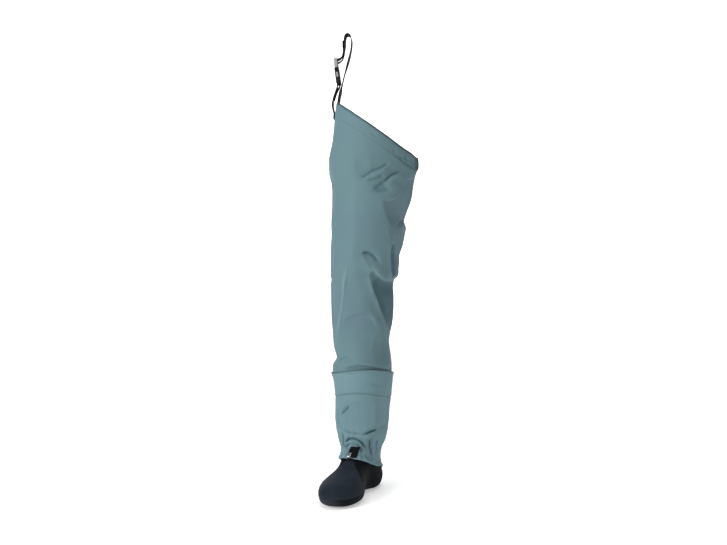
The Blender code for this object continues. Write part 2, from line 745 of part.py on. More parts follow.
def box(name: str, size: tuple[float, float, float], centre: tuple[float, float, float]) -> bpy.types.Object:
    """A box in millimetres in the buckle's axes: thickness, width and length."""
    mesh = bpy.data.meshes.new(name)
    work = bmesh.new()
    bmesh.ops.create_cube(work, size=1.0, matrix=Matrix.Translation(Vector(centre) * MM) @ Matrix.Diagonal(
        (size[0] * MM, size[1] * MM, size[2] * MM, 1.0)))
    work.to_mesh(mesh)
    work.free()
    made = bpy.data.objects.new(name, mesh)
    bpy.context.collection.objects.link(made)
    return made


def rod(name: str, radius: float, length: float, along: float) -> bpy.types.Object:
    """A bar across the width of the buckle at a place along its length."""
    mesh = bpy.data.meshes.new(name)
    work = bmesh.new()
    bmesh.ops.create_cone(
        work, cap_ends=True, segments=12, radius1=radius * MM, radius2=radius * MM, depth=length * MM,
        matrix=Matrix.Translation(Vector((0.0, 0.0, along)) * MM) @ Matrix.Rotation(math.pi / 2.0, 4, "X"))
    work.to_mesh(mesh)
    work.free()
    made = bpy.data.objects.new(name, mesh)
    bpy.context.collection.objects.link(made)
    return made


def combine(base: bpy.types.Object, other: bpy.types.Object, operation: str) -> None:
    """Adds or cuts one object into another and leaves the other one as a hidden cutter."""
    change = base.modifiers.new(other.name, "BOOLEAN")
    change.operation = operation
    change.solver = "EXACT"
    change.object = other
    other.hide_render = True
    other.display_type = "WIRE"


def bevel(item: bpy.types.Object, width: float) -> None:
    """Rounds the long edges of a box a little."""
    change = item.modifiers.new("edges", "BEVEL")
    change.width = width * MM
    change.segments = 2
    change.limit_method = "ANGLE"


def build_buckle(holder: bpy.types.Object) -> None:
    """The two halves of the side release buckle, fastened."""
    length, wide, thick = FEMALE_LENGTH, BUCKLE_WIDTH, BUCKLE_THICK
    female = box("buckle_female", (thick, wide, length), (0.0, 0.0, length / 2.0))
    bevel(female, 1.6)
    cavity_low = 11.5
    cavity = box("female_cavity", (thick - 3.6, wide - 6.0, length), (0.0, 0.0, cavity_low + length / 2.0))
    combine(female, cavity, "DIFFERENCE")
    windows = box("female_windows", (thick - 4.4, wide + 8.0, 13.0), (0.0, 0.0, 20.5))
    combine(female, windows, "DIFFERENCE")
    slot = box("female_slot", (thick + 8.0, wide - 6.6, 9.4), (0.0, 0.0, 4.1))
    combine(female, slot, "DIFFERENCE")
    bar = rod("female_bar", BAR_RADIUS, wide - 5.0, 4.0)
    combine(female, bar, "UNION")

    top = length + MALE_LENGTH
    base_low = length + GAP
    male = box("buckle_male", (thick - 1.2, wide - 0.6, top - base_low), (0.0, 0.0, (top + base_low) / 2.0))
    bevel(male, 1.8)
    window = box("male_slot", (thick + 8.0, wide - 6.6, 10.6), (0.0, 0.0, top - 7.0))
    combine(male, window, "DIFFERENCE")
    bar = rod("male_bar", BAR_RADIUS, wide - 5.0, top - 7.0)
    combine(male, bar, "UNION")
    for side, label in ((-1.0, "front"), (1.0, "back")):
        arm = box("male_arm_" + label, (4.2, 3.4, 26.0), (0.0, side * 10.6, base_low - 10.0))
        combine(male, arm, "UNION")
        lobe = box("male_lobe_" + label, (4.2, 5.0, 11.0), (0.0, side * 13.6, base_low - 17.0))
        combine(male, lobe, "UNION")
    guide = box("male_guide", (3.6, 6.0, 24.0), (0.0, 0.0, base_low - 9.0))
    combine(male, guide, "UNION")

    for item in (female, male):
        finish = FEMALE_FINISH if item is female else MALE_FINISH
        item.data.materials.append(material(item.name + "_finish", finish))
    for item in list(bpy.data.objects):
        if item.name.startswith(("female_", "male_", "buckle_")) and item is not holder:
            item.parent = holder


def main() -> None:
    """Builds every piece of the wader."""
    clear_scene()
    foot_frame = empty("foot_frame", Vector((FOOT_SHIFT, 0.0, 0.0)), -TOE_OUT_DEG, "z")
    buckle_frame = empty("clip_frame", Vector((BUCKLE_FOOT[0], 0.0, BUCKLE_FOOT[1])), BUCKLE_TURN_DEG, "y")
    build_sock(foot_frame)
    build_leg()
    build_guard()
    build_hook()
    build_straps()
    build_buckle(buckle_frame)


main()
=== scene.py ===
"""Looks of one stockingfoot hip wader for the right leg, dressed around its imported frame.

Lengths in the tables are millimetres and become metres where a mesh is made. Bearings go round the leg
in degrees: 0 is the front, 90 the inner side, 180 the back and -90 the outer side.
"""

import logging
import math
from collections.abc import Callable, Iterator
from contextlib import contextmanager
from dataclasses import dataclass
from enum import Enum

import bpy
import numpy as np
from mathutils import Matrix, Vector, noise
from mathutils.bvhtree import BVHTree


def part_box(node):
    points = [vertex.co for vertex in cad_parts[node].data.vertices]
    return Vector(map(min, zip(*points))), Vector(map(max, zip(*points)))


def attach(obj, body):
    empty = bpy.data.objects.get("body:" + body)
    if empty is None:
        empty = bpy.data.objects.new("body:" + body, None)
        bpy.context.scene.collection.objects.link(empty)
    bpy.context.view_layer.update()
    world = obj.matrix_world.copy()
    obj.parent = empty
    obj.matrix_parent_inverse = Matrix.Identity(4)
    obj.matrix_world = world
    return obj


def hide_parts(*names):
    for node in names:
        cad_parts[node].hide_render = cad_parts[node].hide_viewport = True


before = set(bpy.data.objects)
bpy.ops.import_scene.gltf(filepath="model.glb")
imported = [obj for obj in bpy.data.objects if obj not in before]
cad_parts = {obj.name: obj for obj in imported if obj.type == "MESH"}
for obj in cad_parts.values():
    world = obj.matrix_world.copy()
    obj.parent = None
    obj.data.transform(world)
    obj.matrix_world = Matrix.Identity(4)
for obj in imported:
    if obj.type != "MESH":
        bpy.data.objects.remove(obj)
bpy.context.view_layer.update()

LOG = logging.getLogger("wader")
MM = 0.001
FULL_TURN = 2.0 * math.pi
TINY = 1e-9
FAR = 1e9
BODY = "root"
MAP = "UVMap"

Array = np.ndarray
Piece = bpy.types.Object
Material = bpy.types.Material
Colour = tuple[float, float, float, float]
Place = tuple[float, float, float]
Pairs = tuple[tuple[float, float], ...]


class Hold(Enum):
    """How a sheet of cloth is held."""

    HUNG = "hung"
    GATHERED = "gathered"


class Fold(Enum):
    """Which way a crease moves the cloth."""

    TROUGH = -1.0
    RIDGE = 1.0


class Value:
    """A number socket that takes part in Python sums, each operator adding a Math node."""

    def __init__(self, shader: "Shader", socket: bpy.types.NodeSocket) -> None:
        """Wraps a socket of a shader."""
        self.shader = shader
        self.socket = socket

    def math(self, operation: str, *others: "Value | float") -> "Value":
        """Adds a Math node with this value first.

        Args:
            operation: The node's operation.
            others: The values of its other sockets.

        Returns:
            The node's result.
        """
        return self.shader.node("ShaderNodeMath", {"operation": operation}, dict(enumerate((self, *others))))

    def __add__(self, other: "Value | float") -> "Value":
        """Adds."""
        return self.math("ADD", other)

    def __sub__(self, other: "Value | float") -> "Value":
        """Takes away."""
        return self.math("SUBTRACT", other)

    def __rsub__(self, other: "Value | float") -> "Value":
        """Takes this value away from a number."""
        return self.math("MULTIPLY_ADD", -1.0, other)

    def __mul__(self, other: "Value | float") -> "Value":
        """Multiplies."""
        return self.math("MULTIPLY", other)

    def __abs__(self) -> "Value":
        """Size without the sign."""
        return self.math("ABSOLUTE")

    __radd__ = __add__
    __rmul__ = __mul__

    def sine(self) -> "Value":
        """Sine of this value in radians."""
        return self.math("SINE")

    def wave(self, pitch: float) -> "Value":
        """Sine wave along this value, one wave to a pitch."""
        return (self * (FULL_TURN / pitch)).sine()

    def lifted(self) -> "Value":
        """A wave from -1 to 1 moved to run from 0 to 1."""
        return self * 0.5 + 0.5

    def at_least(self, other: "Value | float") -> "Value":
        """The larger of two values."""
        return self.math("MAXIMUM", other)

    def step(self, low: float, high: float) -> "Value":
        """Goes smoothly from 0 to 1 between two values.

        Args:
            low: Where it leaves 0.
            high: Where it reaches 1.

        Returns:
            The smooth step.
        """
        if low > high:
            return 1.0 - self.step(high, low)
        inputs = {"Value": self, "From Min": low, "From Max": high}
        return self.shader.node("ShaderNodeMapRange", {"interpolation_type": "SMOOTHSTEP"}, inputs)


class Shader:
    """Material of one finish, with one method that adds any node."""

    def __init__(self, name: str) -> None:
        """Starts a material with its main shader.

        Args:
            name: The material's name.
        """
        self.material = bpy.data.materials.new(name)
        self.material.use_nodes = True
        self.tree = self.material.node_tree
        self.main = next(n for n in self.tree.nodes if n.type == "BSDF_PRINCIPLED")

    def put(self, socket: bpy.types.NodeSocket, value: "Value | float | tuple") -> None:
        """Links a socket to a value or sets it to a number, colour or vector."""
        if isinstance(value, Value):
            self.tree.links.new(value.socket, socket)
        else:
            socket.default_value = value

    def node(
        self, kind: str, settings: dict | None = None, inputs: dict | None = None, output: int | str = 0
    ) -> Value:
        """Adds a node.

        Args:
            kind: The node's type.
            settings: Its properties, set first.
            inputs: Values or links of its sockets, by name or number.
            output: The output that is wanted, by name or number.

        Returns:
            That output.
        """
        made = self.tree.nodes.new(kind)
        for name, value in (settings or {}).items():
            setattr(made, name, value)
        for key, value in (inputs or {}).items():
            self.put(made.inputs[key], value)
        return Value(self, made.outputs[output])

    def place(self) -> Value:
        """Object coordinates."""
        return self.node("ShaderNodeTexCoord", output="Object")

    def flat(self) -> Value:
        """The piece's own map, in metres along the cloth."""
        return self.node("ShaderNodeUVMap", {"uv_map": MAP})

    def parts(self, vector: Value) -> tuple[Value, Value, Value]:
        """The three numbers of a vector."""
        split = self.node("ShaderNodeSeparateXYZ", None, {0: vector}).socket.node
        return tuple(Value(self, split.outputs[index]) for index in range(3))

    def attribute(self, name: str) -> Value:
        """A number stored on the piece's points."""
        return self.node("ShaderNodeAttribute", {"attribute_name": name}, None, "Fac")

    def noise(
        self, scale: float, detail: float, roughness: float = 0.5, stretch: Place | None = None
    ) -> Value:
        """Soft noise from 0 to 1 on the object's coordinates.

        Args:
            scale: How many waves go to a metre.
            detail: How many finer octaves it has.
            roughness: How strong these are.
            stretch: Shares of that scale along the three axes, where they differ.

        Returns:
            The noise.
        """
        spot = self.place()
        if stretch is not None:
            spot = self.node("ShaderNodeMapping", None, {"Vector": spot, "Scale": stretch})
        inputs = {"Vector": spot, "Scale": scale, "Detail": detail, "Roughness": roughness}
        return self.node("ShaderNodeTexNoise", None, inputs)

    def mix(self, factor: Value, low: "Value | tuple", high: "Value | tuple") -> Value:
        """Mixes two colours.

        Args:
            factor: 0 for the first colour and 1 for the second.
            low: The first colour.
            high: The second colour.

        Returns:
            The mixed colour.
        """
        return self.node("ShaderNodeMix", {"data_type": "RGBA"}, {0: factor, 6: low, 7: high}, 2)

    def bump(self, height: Value, distance: float, strength: float, below: Value | None = None) -> Value:
        """Adds relief to the surface.

        Args:
            height: The relief, where 1 is one distance high.
            distance: Its height in metres.
            strength: How much of it shows.
            below: A coarser relief to add it to.

        Returns:
            The bent normal.
        """
        inputs = {"Height": height, "Distance": distance, "Strength": strength}
        if below is not None:
            inputs["Normal"] = below
        return self.node("ShaderNodeBump", None, inputs)

    def finish(self, **sockets: "Value | float | tuple") -> Material:
        """Sets or links the main shader's sockets, named with _ for a space.

        Args:
            sockets: Values or links by socket name.

        Returns:
            The material.
        """
        for name, value in sockets.items():
            self.put(self.main.inputs[name.replace("_", " ")], value)
        return self.material


def toned(colour: Colour, share: float) -> Colour:
    """A colour made lighter or darker by a share."""
    return (*(share * part for part in colour[:3]), 1.0)


@dataclass(frozen=True)
class ClothFinish:
    """Matt laminated fabric with a fine plain weave and a ripstop check."""

    name: str
    colour: Colour
    shade: Colour
    worn_and_highlight: Colour
    painted_shade: Colour
    thread: float = 0.7 * MM
    check: float = 5.6 * MM
    check_line: tuple[float, float] = (0.10, 0.03)
    ridge: tuple[float, float] = (0.9, 4.2)
    trough: tuple[float, float] = (-1.0, -5.0)
    ridge_highlight: float = 0.7
    trough_shade: float = 0.85
    fleck: float = 0.22
    check_worn: float = 0.10
    edge_share: float = 0.16
    roughness: float = 0.62
    gloss: float = 0.22

    BROAD = (7.0, 3.0)
    BROAD_STEP = (0.30, 0.72)
    FINE = (260.0, 3.0, 0.7)
    FLECK_STEP = (0.62, 0.86)
    CRINKLE = (60.0, 4.0, 0.6)
    RUBBED_STEP = (0.6, 4.0)
    WEAVE_RELIEF = (0.10 * MM, 0.35)
    CRINKLE_RELIEF = (0.8 * MM, 0.25)

    def material(self) -> Material:
        """Weave, soft tone changes, painted highlights on ridges, painted shade in troughs and hollows, and a
        dark edge.
        """
        s = Shader(self.name)
        across, along, _ = s.parts(s.flat())
        weave = (across.wave(self.thread) * along.wave(self.thread)).lifted()
        lines = [abs(way.wave(2.0 * self.check)).step(*self.check_line) for way in (across, along)]
        fine = s.noise(*self.FINE)
        fold = s.attribute("fold")
        tone = s.mix(s.noise(*self.BROAD).step(*self.BROAD_STEP), self.shade, self.colour)
        # painted highlight on ridges and painted shade in troughs and shaded facets, read from the stored
        # fold depths
        tone = s.mix(fold.step(*self.ridge) * self.ridge_highlight, tone, self.worn_and_highlight)
        tone = s.mix(fold.step(*self.trough) * self.trough_shade, tone, self.painted_shade)
        tone = s.mix(fine.step(*self.FLECK_STEP) * self.fleck, tone, self.worn_and_highlight)
        tone = s.mix(lines[0].at_least(lines[1]) * self.check_worn, tone, self.worn_and_highlight)
        # dark edge band, partly painted shade at the hem's inner side and corner
        tone = s.mix(s.attribute("edge"), tone, toned(self.shade, self.edge_share))
        relief = s.bump(weave, *self.WEAVE_RELIEF)
        relief = s.bump(s.noise(*self.CRINKLE), *self.CRINKLE_RELIEF, relief)
        rough = self.roughness + 0.16 * fine - 0.05 * fold.step(*self.RUBBED_STEP)
        return s.finish(Base_Color=tone, Roughness=rough, Normal=relief, Specular_IOR_Level=self.gloss)


@dataclass(frozen=True)
class LiningFinish:
    """Knitted backing on the inside of the laminate."""

    name: str
    colour: Colour
    rib: float = 1.1 * MM
    row: float = 0.77 * MM

    def material(self) -> Material:
        """Fine ribs along the leg."""
        s = Shader(self.name)
        across, along, _ = s.parts(s.flat())
        knit = across.wave(self.rib).lifted() * along.wave(self.row).lifted()
        tone = s.mix(knit * 0.5, self.colour, toned(self.colour, 0.7))
        return s.finish(Base_Color=tone, Roughness=0.85, Normal=s.bump(knit, 0.12 * MM, 0.5))


@dataclass(frozen=True)
class NeopreneFinish:
    """Foam rubber faced with a dark knit that has a soft sheen."""

    name: str
    colour: Colour
    shade: Colour
    dust_and_sheen: Colour = (0.052, 0.056, 0.056, 1.0)
    dust_and_sheen_top: float = 34.0 * MM
    dust_and_sheen_side: tuple[float, float] = (-15.0 * MM, -50.0 * MM)
    seam: Colour = (0.003, 0.003, 0.004, 1.0)
    panel_and_shade_share: float = 0.15
    pitch: float = 1.3 * MM
    gloss: float = 0.05
    sheen: float = 0.012
    sheen_tint: Colour = (0.75, 0.86, 1.0, 1.0)

    BROAD = (16.0, 3.0)
    BROAD_STEP = (0.30, 0.70)
    DUST_AND_SHEEN_STEP = (0.25, 0.65)
    LINT = (420.0, 3.0, 0.75)
    LINT_STEP = (0.60, 0.85)
    PORES = (130.0, 4.0)
    GROOVE_STEP = (0.2, 1.6)
    RIDGE_RISE = (1.2, 2.4)
    RIDGE_FALL = (4.2, 2.6)
    SEAM_RELIEF = (0.9 * MM, 0.9)
    KNIT_RELIEF = (0.16 * MM, 0.55)
    PORE_RELIEF = (0.4 * MM, 0.35)

    def material(self) -> Material:
        """Knit face, a seam groove along the stored seam distance, a darker quarter panel that also carries
        painted shade, and pale scuffs low on the outer side that are dust with a painted sheen.
        """
        s = Shader(self.name)
        x, y, z = s.parts(s.place())
        knit = ((x + y).wave(self.pitch) * (z - y).wave(self.pitch)).lifted()
        broad = s.noise(*self.BROAD)
        lint = s.noise(*self.LINT)
        seam = abs(s.attribute("seam"))
        groove = seam.step(*self.GROOVE_STEP)
        ridge = seam.step(*self.RIDGE_RISE) * seam.step(*self.RIDGE_FALL)
        # pale scuffs low on the outer, lit side: dust with a painted sheen
        low = z.step(self.dust_and_sheen_top, 0.2 * self.dust_and_sheen_top) * x.step(*self.dust_and_sheen_side)
        low = low * broad.step(*self.DUST_AND_SHEEN_STEP)
        tone = s.mix(broad.step(*self.BROAD_STEP), self.shade, self.colour)
        # darker quarter panel behind the vamp seam, partly painted shade on the heel, the inner side and the
        # sole
        tone = s.mix(s.attribute("panel_and_shade") * 0.9, tone, toned(self.shade, self.panel_and_shade_share))
        tone = s.mix(lint.step(*self.LINT_STEP) * 0.25, tone, toned(self.colour, 2.2))
        tone = s.mix(low * 0.45, tone, self.dust_and_sheen)
        tone = s.mix((1.0 - groove) * 0.8, tone, self.seam)
        relief = s.bump(groove + 0.5 * ridge, *self.SEAM_RELIEF)
        relief = s.bump(knit, *self.KNIT_RELIEF, relief)
        relief = s.bump(s.noise(*self.PORES), *self.PORE_RELIEF, relief)
        return s.finish(
            Base_Color=tone, Roughness=0.62 + 0.16 * lint, Normal=relief, Specular_IOR_Level=self.gloss,
            Sheen_Weight=self.sheen, Sheen_Roughness=0.45, Sheen_Tint=self.sheen_tint,
        )


@dataclass(frozen=True)
class WebbingFinish:
    """Woven nylon strap with cross ribs."""

    name: str
    colour: Colour
    rib: float = 1.5 * MM
    warp: float = 1.7 * MM
    zigzag: float = 1.1
    gloss: float = 0.08

    FUZZ = (700.0, 3.0, 0.7)
    FUZZ_STEP = (0.55, 0.85)
    WEAVE_RELIEF = (0.35 * MM, 0.8)
    FUZZ_RELIEF = (0.1 * MM, 0.4)

    def material(self) -> Material:
        """Two by two weave along the strap's own map."""
        s = Shader(self.name)
        across, along, _ = s.parts(s.flat())
        warp = across.wave(self.warp)
        rib = (along * (FULL_TURN / self.rib) + warp * self.zigzag).sine()
        weave = rib.lifted() * 0.6 + warp.lifted() * 0.4
        fuzz = s.noise(*self.FUZZ)
        tone = s.mix(weave, toned(self.colour, 0.35), self.colour)
        tone = s.mix(fuzz.step(*self.FUZZ_STEP) * 0.35, tone, toned(self.colour, 2.6))
        relief = s.bump(weave, *self.WEAVE_RELIEF)
        relief = s.bump(fuzz, *self.FUZZ_RELIEF, relief)
        rough = 0.6 + 0.2 * fuzz
        return s.finish(Base_Color=tone, Roughness=rough, Normal=relief, Specular_IOR_Level=self.gloss)


@dataclass(frozen=True)
class PlasticFinish:
    """Moulded plastic with a fine spark texture."""

    name: str
    colour: Colour
    roughness: float
    gloss: float

    RUB = (90.0, 4.0, 0.6)
    RUB_STEP = (0.35, 0.75)
    SPARK = (1500.0, 2.0, 0.6)
    SPARK_RELIEF = (0.06 * MM, 0.5)

    def material(self) -> Material:
        """Grain, rubbed tone and a light gloss."""
        s = Shader(self.name)
        rub = s.noise(*self.RUB)
        tone = s.mix(rub.step(*self.RUB_STEP) * 0.5, self.colour, toned(self.colour, 1.35))
        relief = s.bump(s.noise(*self.SPARK), *self.SPARK_RELIEF)
        rough = self.roughness + 0.18 * rub
        return s.finish(Base_Color=tone, Roughness=rough, Normal=relief, Specular_IOR_Level=self.gloss)


@dataclass(frozen=True)
class MetalFinish:
    """Bright plated wire steel with drawn lines."""

    name: str
    colour: Colour
    drawn: Place = (1.0, 1.0, 0.08)

    SPOTS = (240.0, 4.0, 0.65)
    SPOT_STEP = (0.55, 0.80)
    LINES = (1600.0, 2.0, 0.6)
    LINE_RELIEF = (0.05 * MM, 0.4)

    def material(self) -> Material:
        """Drawn lines, dulled spots and a bright ground."""
        s = Shader(self.name)
        spots = s.noise(*self.SPOTS)
        tone = s.mix(spots.step(*self.SPOT_STEP) * 0.6, self.colour, toned(self.colour, 0.45))
        relief = s.bump(s.noise(*self.LINES, self.drawn), *self.LINE_RELIEF)
        return s.finish(Base_Color=tone, Metallic=1.0, Roughness=0.20 + 0.22 * spots, Normal=relief)


@dataclass(frozen=True)
class ThreadFinish:
    """Twisted sewing thread."""

    name: str
    colour: Colour
    pitch: float = 0.6 * MM

    def material(self) -> Material:
        """Twist lines along the thread."""
        s = Shader(self.name)
        x, y, z = s.parts(s.place())
        twist = (x + y + z).wave(self.pitch).lifted()
        tone = s.mix(twist, toned(self.colour, 0.6), self.colour)
        return s.finish(Base_Color=tone, Roughness=0.7, Normal=s.bump(twist, 0.08 * MM, 0.5))


@dataclass(frozen=True)
class StudioFinish:
    """Pale studio paint, whose glow looks stronger than the light it gives."""

    name: str
    colour: Colour
    glow: float
    seen_glow: float

    def material(self) -> Material:
        """An even white with a trace of tone."""
        s = Shader(self.name)
        white = (1.0, 1.0, 1.0, 1.0)
        tone = s.mix(s.noise(0.6, 2.0), self.colour, toned(self.colour, 0.985))
        seen = s.node("ShaderNodeLightPath", output="Is Camera Ray")
        light = s.mix(seen, toned(white, self.glow / self.seen_glow), white)
        return s.finish(
            Base_Color=tone, Roughness=0.9, Emission_Color=light, Emission_Strength=self.seen_glow
        )


# colours: ground, a random darker tone, a pale tone for flecks, checks and painted highlights, and the
# painted shade of troughs and hollows
SHELL = ClothFinish(
    "shell_cloth", (0.113, 0.199, 0.218, 1.0), (0.110, 0.178, 0.208, 1.0), (0.158, 0.254, 0.278, 1.0),
    (0.050, 0.105, 0.124, 1.0),
)
GUARD = ClothFinish(
    "guard_cloth", (0.144, 0.242, 0.270, 1.0), (0.130, 0.222, 0.250, 1.0), (0.184, 0.290, 0.318, 1.0),
    (0.058, 0.120, 0.140, 1.0),
)
LINING = LiningFinish("lining_knit", (0.30, 0.33, 0.34, 1.0))
SOCK = NeopreneFinish("sock_neoprene", (0.0175, 0.0240, 0.0330, 1.0), (0.012, 0.0170, 0.0235, 1.0))
WEBBING = WebbingFinish("strap_webbing", (0.007, 0.007, 0.008, 1.0))
ELASTIC = WebbingFinish("hem_elastic", (0.010, 0.010, 0.012, 1.0), 0.9 * MM, 1.2 * MM)
GREY_PLASTIC = PlasticFinish("grey_plastic", (0.27, 0.28, 0.29, 1.0), 0.34, 0.4)
BLACK_PLASTIC = PlasticFinish("black_plastic", (0.006, 0.006, 0.007, 1.0), 0.40, 0.2)
HOOK_STEEL = MetalFinish("hook_steel", (0.26, 0.26, 0.27, 1.0))
SHELL_THREAD = ThreadFinish("shell_thread", (0.105, 0.170, 0.195, 1.0))
WHITE_FLOOR = StudioFinish("white_floor", (0.92, 0.92, 0.92, 1.0), 0.22, 0.36)
WHITE_WALL = StudioFinish("white_wall", (0.92, 0.92, 0.92, 1.0), 1.0, 1.0)


def deselect() -> None:
    """Leaves nothing selected."""
    bpy.ops.object.select_all(action="DESELECT")


def activate(piece: Piece) -> None:
    """Selects one piece alone and makes it active."""
    deselect()
    piece.select_set(True)
    bpy.context.view_layer.objects.active = piece


@contextmanager
def editing(piece: Piece) -> Iterator[None]:
    """Holds a piece in edit mode."""
    activate(piece)
    bpy.ops.object.mode_set(mode="EDIT")
    yield
    bpy.ops.object.mode_set(mode="OBJECT")


def edit(piece: Piece, *steps: tuple[str, dict]) -> None:
    """Runs mesh operators on all of a piece.

    Args:
        piece: The piece.
        steps: Names of mesh operators with their settings.
    """
    with editing(piece):
        for name, settings in steps:
            bpy.ops.mesh.select_all(action="SELECT")
            getattr(bpy.ops.mesh, name)(**settings)


def apply_modifier(piece: Piece, kind: str, **settings: object) -> None:
    """Adds a modifier to a piece and applies it.

    Args:
        piece: The piece.
        kind: The modifier's type.
        settings: Its settings.
    """
    activate(piece)
    change = piece.modifiers.new(kind.lower(), kind)
    for name, value in settings.items():
        setattr(change, name, value)
    bpy.ops.object.modifier_apply(modifier=change.name)


def subdivide(piece: Piece, levels: int) -> None:
    """Subdivides a piece into a smooth form."""
    apply_modifier(piece, "SUBSURF", levels=levels, render_levels=levels)


def round_edges(piece: Piece, width: float, segments: int, angle_deg: float) -> None:
    """Rounds the edges of a piece that turn more than an angle.

    Args:
        piece: The piece.
        width: Width of the rounding in millimetres.
        segments: Faces across it.
        angle_deg: The angle.
    """
    settings = {"width": width * MM, "segments": segments, "limit_method": "ANGLE"}
    apply_modifier(piece, "BEVEL", angle_limit=math.radians(angle_deg), **settings)


def smooth(piece: Piece, angle_deg: float | None = None) -> None:
    """Shades a piece smooth, or smooth up to an angle."""
    activate(piece)
    if angle_deg is None:
        bpy.ops.object.shade_smooth()
    else:
        bpy.ops.object.shade_smooth_by_angle(angle=math.radians(angle_deg))


def dress(piece: Piece, *finishes: Material) -> None:
    """Gives a piece its materials in order, in place of any it has."""
    piece.data.materials.clear()
    for finish in finishes:
        piece.data.materials.append(finish)


def hand_over(piece: Piece, slot: str, *nodes: str) -> None:
    """Lets a piece ride with the part and stand for solids.

    Args:
        piece: The finished piece.
        slot: Not used.
        nodes: The solids that it stands for.
    """
    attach(piece, BODY)
    if nodes:
        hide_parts(*nodes)
    stands_for = ", ".join(nodes) or "nothing"
    LOG.info("%s: %d faces, stands for %s", piece.name, len(piece.data.polygons), stands_for)


def store(piece: Piece, name: str, values: Array) -> None:
    """Stores a number on each point of a piece."""
    held = piece.data.attributes.new(name, "FLOAT", "POINT")
    held.data.foreach_set("value", np.ascontiguousarray(values, np.float32))


def points_of(piece: Piece) -> Array:
    """The points of a mesh as rows of x, y, z in metres."""
    flat = np.empty(len(piece.data.vertices) * 3, np.float64)
    piece.data.vertices.foreach_get("co", flat)
    return flat.reshape(-1, 3)


def set_points(piece: Piece, points: Array) -> None:
    """Moves the points of a mesh to rows of x, y, z in metres."""
    piece.data.vertices.foreach_set("co", np.ascontiguousarray(points, np.float32).ravel())
    piece.data.update()


def set_chart(piece: Piece, chart: Array) -> None:
    """Gives a piece its map, from rows of map places in metres for its points."""
    mesh = piece.data
    layer = mesh.uv_layers[0] if mesh.uv_layers else mesh.uv_layers.new(name=MAP)
    layer.name = MAP
    corner = np.empty(len(mesh.loops), np.int32)
    mesh.loops.foreach_get("vertex_index", corner)
    mesh.uv_layers[0].data.foreach_set("uv", np.ascontiguousarray(chart[corner], np.float32).ravel())


def chart_box(piece: Piece) -> None:
    """Gives a piece a map in metres: width across x and y, length along z."""
    spots = points_of(piece)
    set_chart(piece, np.stack([spots[:, 0] + spots[:, 1], spots[:, 2]], axis=1))


def copy_of(node: str, name: str) -> Piece:
    """A merged copy of a solid's mesh with its flat triangles joined.

    Args:
        node: The solid.
        name: The copy's name.

    Returns:
        The copy, as a piece of its own.
    """
    piece = bpy.data.objects.new(name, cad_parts[node].data.copy())
    piece.data.name = name
    bpy.context.scene.collection.objects.link(piece)
    while piece.data.attributes.get("sharp_edge"):
        piece.data.attributes.remove(piece.data.attributes["sharp_edge"])
    join = {"face_threshold": math.radians(60.0), "shape_threshold": math.radians(80.0)}
    edit(piece, ("remove_doubles", {"threshold": 0.02 * MM}), ("tris_convert_to_quads", join))
    return piece


def keep_rims(piece: Piece, angle_deg: float) -> None:
    """Creases the edges of a piece that turn more than an angle, so that a subdivision keeps them."""
    with editing(piece):
        bpy.ops.mesh.select_mode(type="EDGE")
        bpy.ops.mesh.select_all(action="DESELECT")
        bpy.ops.mesh.edges_select_sharp(sharpness=math.radians(angle_deg))
        bpy.ops.transform.edge_crease(value=1.0)


def smoothstep(values: Array | float) -> Array:
    """Smooth step from 0 to 1."""
    held = np.clip(values, 0.0, 1.0)
    return held * held * (3.0 - 2.0 * held)


def between(values: Array, low: float, rise: float, high: float, fall: float) -> Array:
    """1 between two values, with a smooth rise past the first and a smooth fall to the second."""
    return smoothstep((values - low) / rise) * smoothstep((high - values) / fall)


def bell(off: Array | float, width: Array | float, power: float = 2.0) -> Array:
    """Bump that is 1 at no distance and dies away over a width."""
    return np.exp(-((off / width) ** power))


def read_off(places: Array | float, table: Pairs) -> Array:
    """Values between the rows of a table of places and values."""
    return np.interp(places, *np.array(table).T)


def blur(table: Array, width: float, axis: int, round_trip: bool) -> Array:
    """Softens a table along one axis.

    Args:
        table: The table.
        width: Width of the softening in cells.
        axis: The axis.
        round_trip: True where the axis closes on itself.

    Returns:
        The softened table.
    """
    reach = max(1, int(3.0 * width))
    weights = np.exp(-0.5 * (np.arange(-reach, reach + 1) / width) ** 2)
    pads = [(0, 0)] * table.ndim
    pads[axis] = (reach, reach)
    wide = np.pad(table, pads, mode="wrap" if round_trip else "edge")
    count = table.shape[axis]
    total = sum(w * np.take(wide, np.arange(k, k + count), axis) for k, w in enumerate(weights))
    return total / weights.sum()


def soften(table: Array, across: float, along: float) -> Array:
    """Softens a table round a tube and then along it; its last column lies on its first."""
    ring = blur(blur(table[:, :-1], across, 1, True), along, 0, False)
    return np.concatenate([ring, ring[:, :1]], axis=1)


def curve_through(places: Array, steps: int) -> Array:
    """Smooth run of places through given ones.

    Args:
        places: Rows of places.
        steps: Steps between one given place and the next.

    Returns:
        Rows of places along the run.
    """
    ends = np.vstack([places[:1], places, places[-1:]])
    run = []
    for k in range(len(places) - 1):
        a, b, c, d = ends[k : k + 4]
        for share in np.arange(steps) / steps:
            square = (2.0 * a - 5.0 * b + 4.0 * c - d) * share**2
            cube = (3.0 * b - a - 3.0 * c + d) * share**3
            run.append(0.5 * (2.0 * b + (c - a) * share + square + cube))
    return np.array(run + [places[-1]])


def run_of(track: Array) -> Array:
    """Length of a track up to each of its places."""
    return np.concatenate([[0.0], np.cumsum(np.linalg.norm(np.diff(track, axis=0), axis=1))])


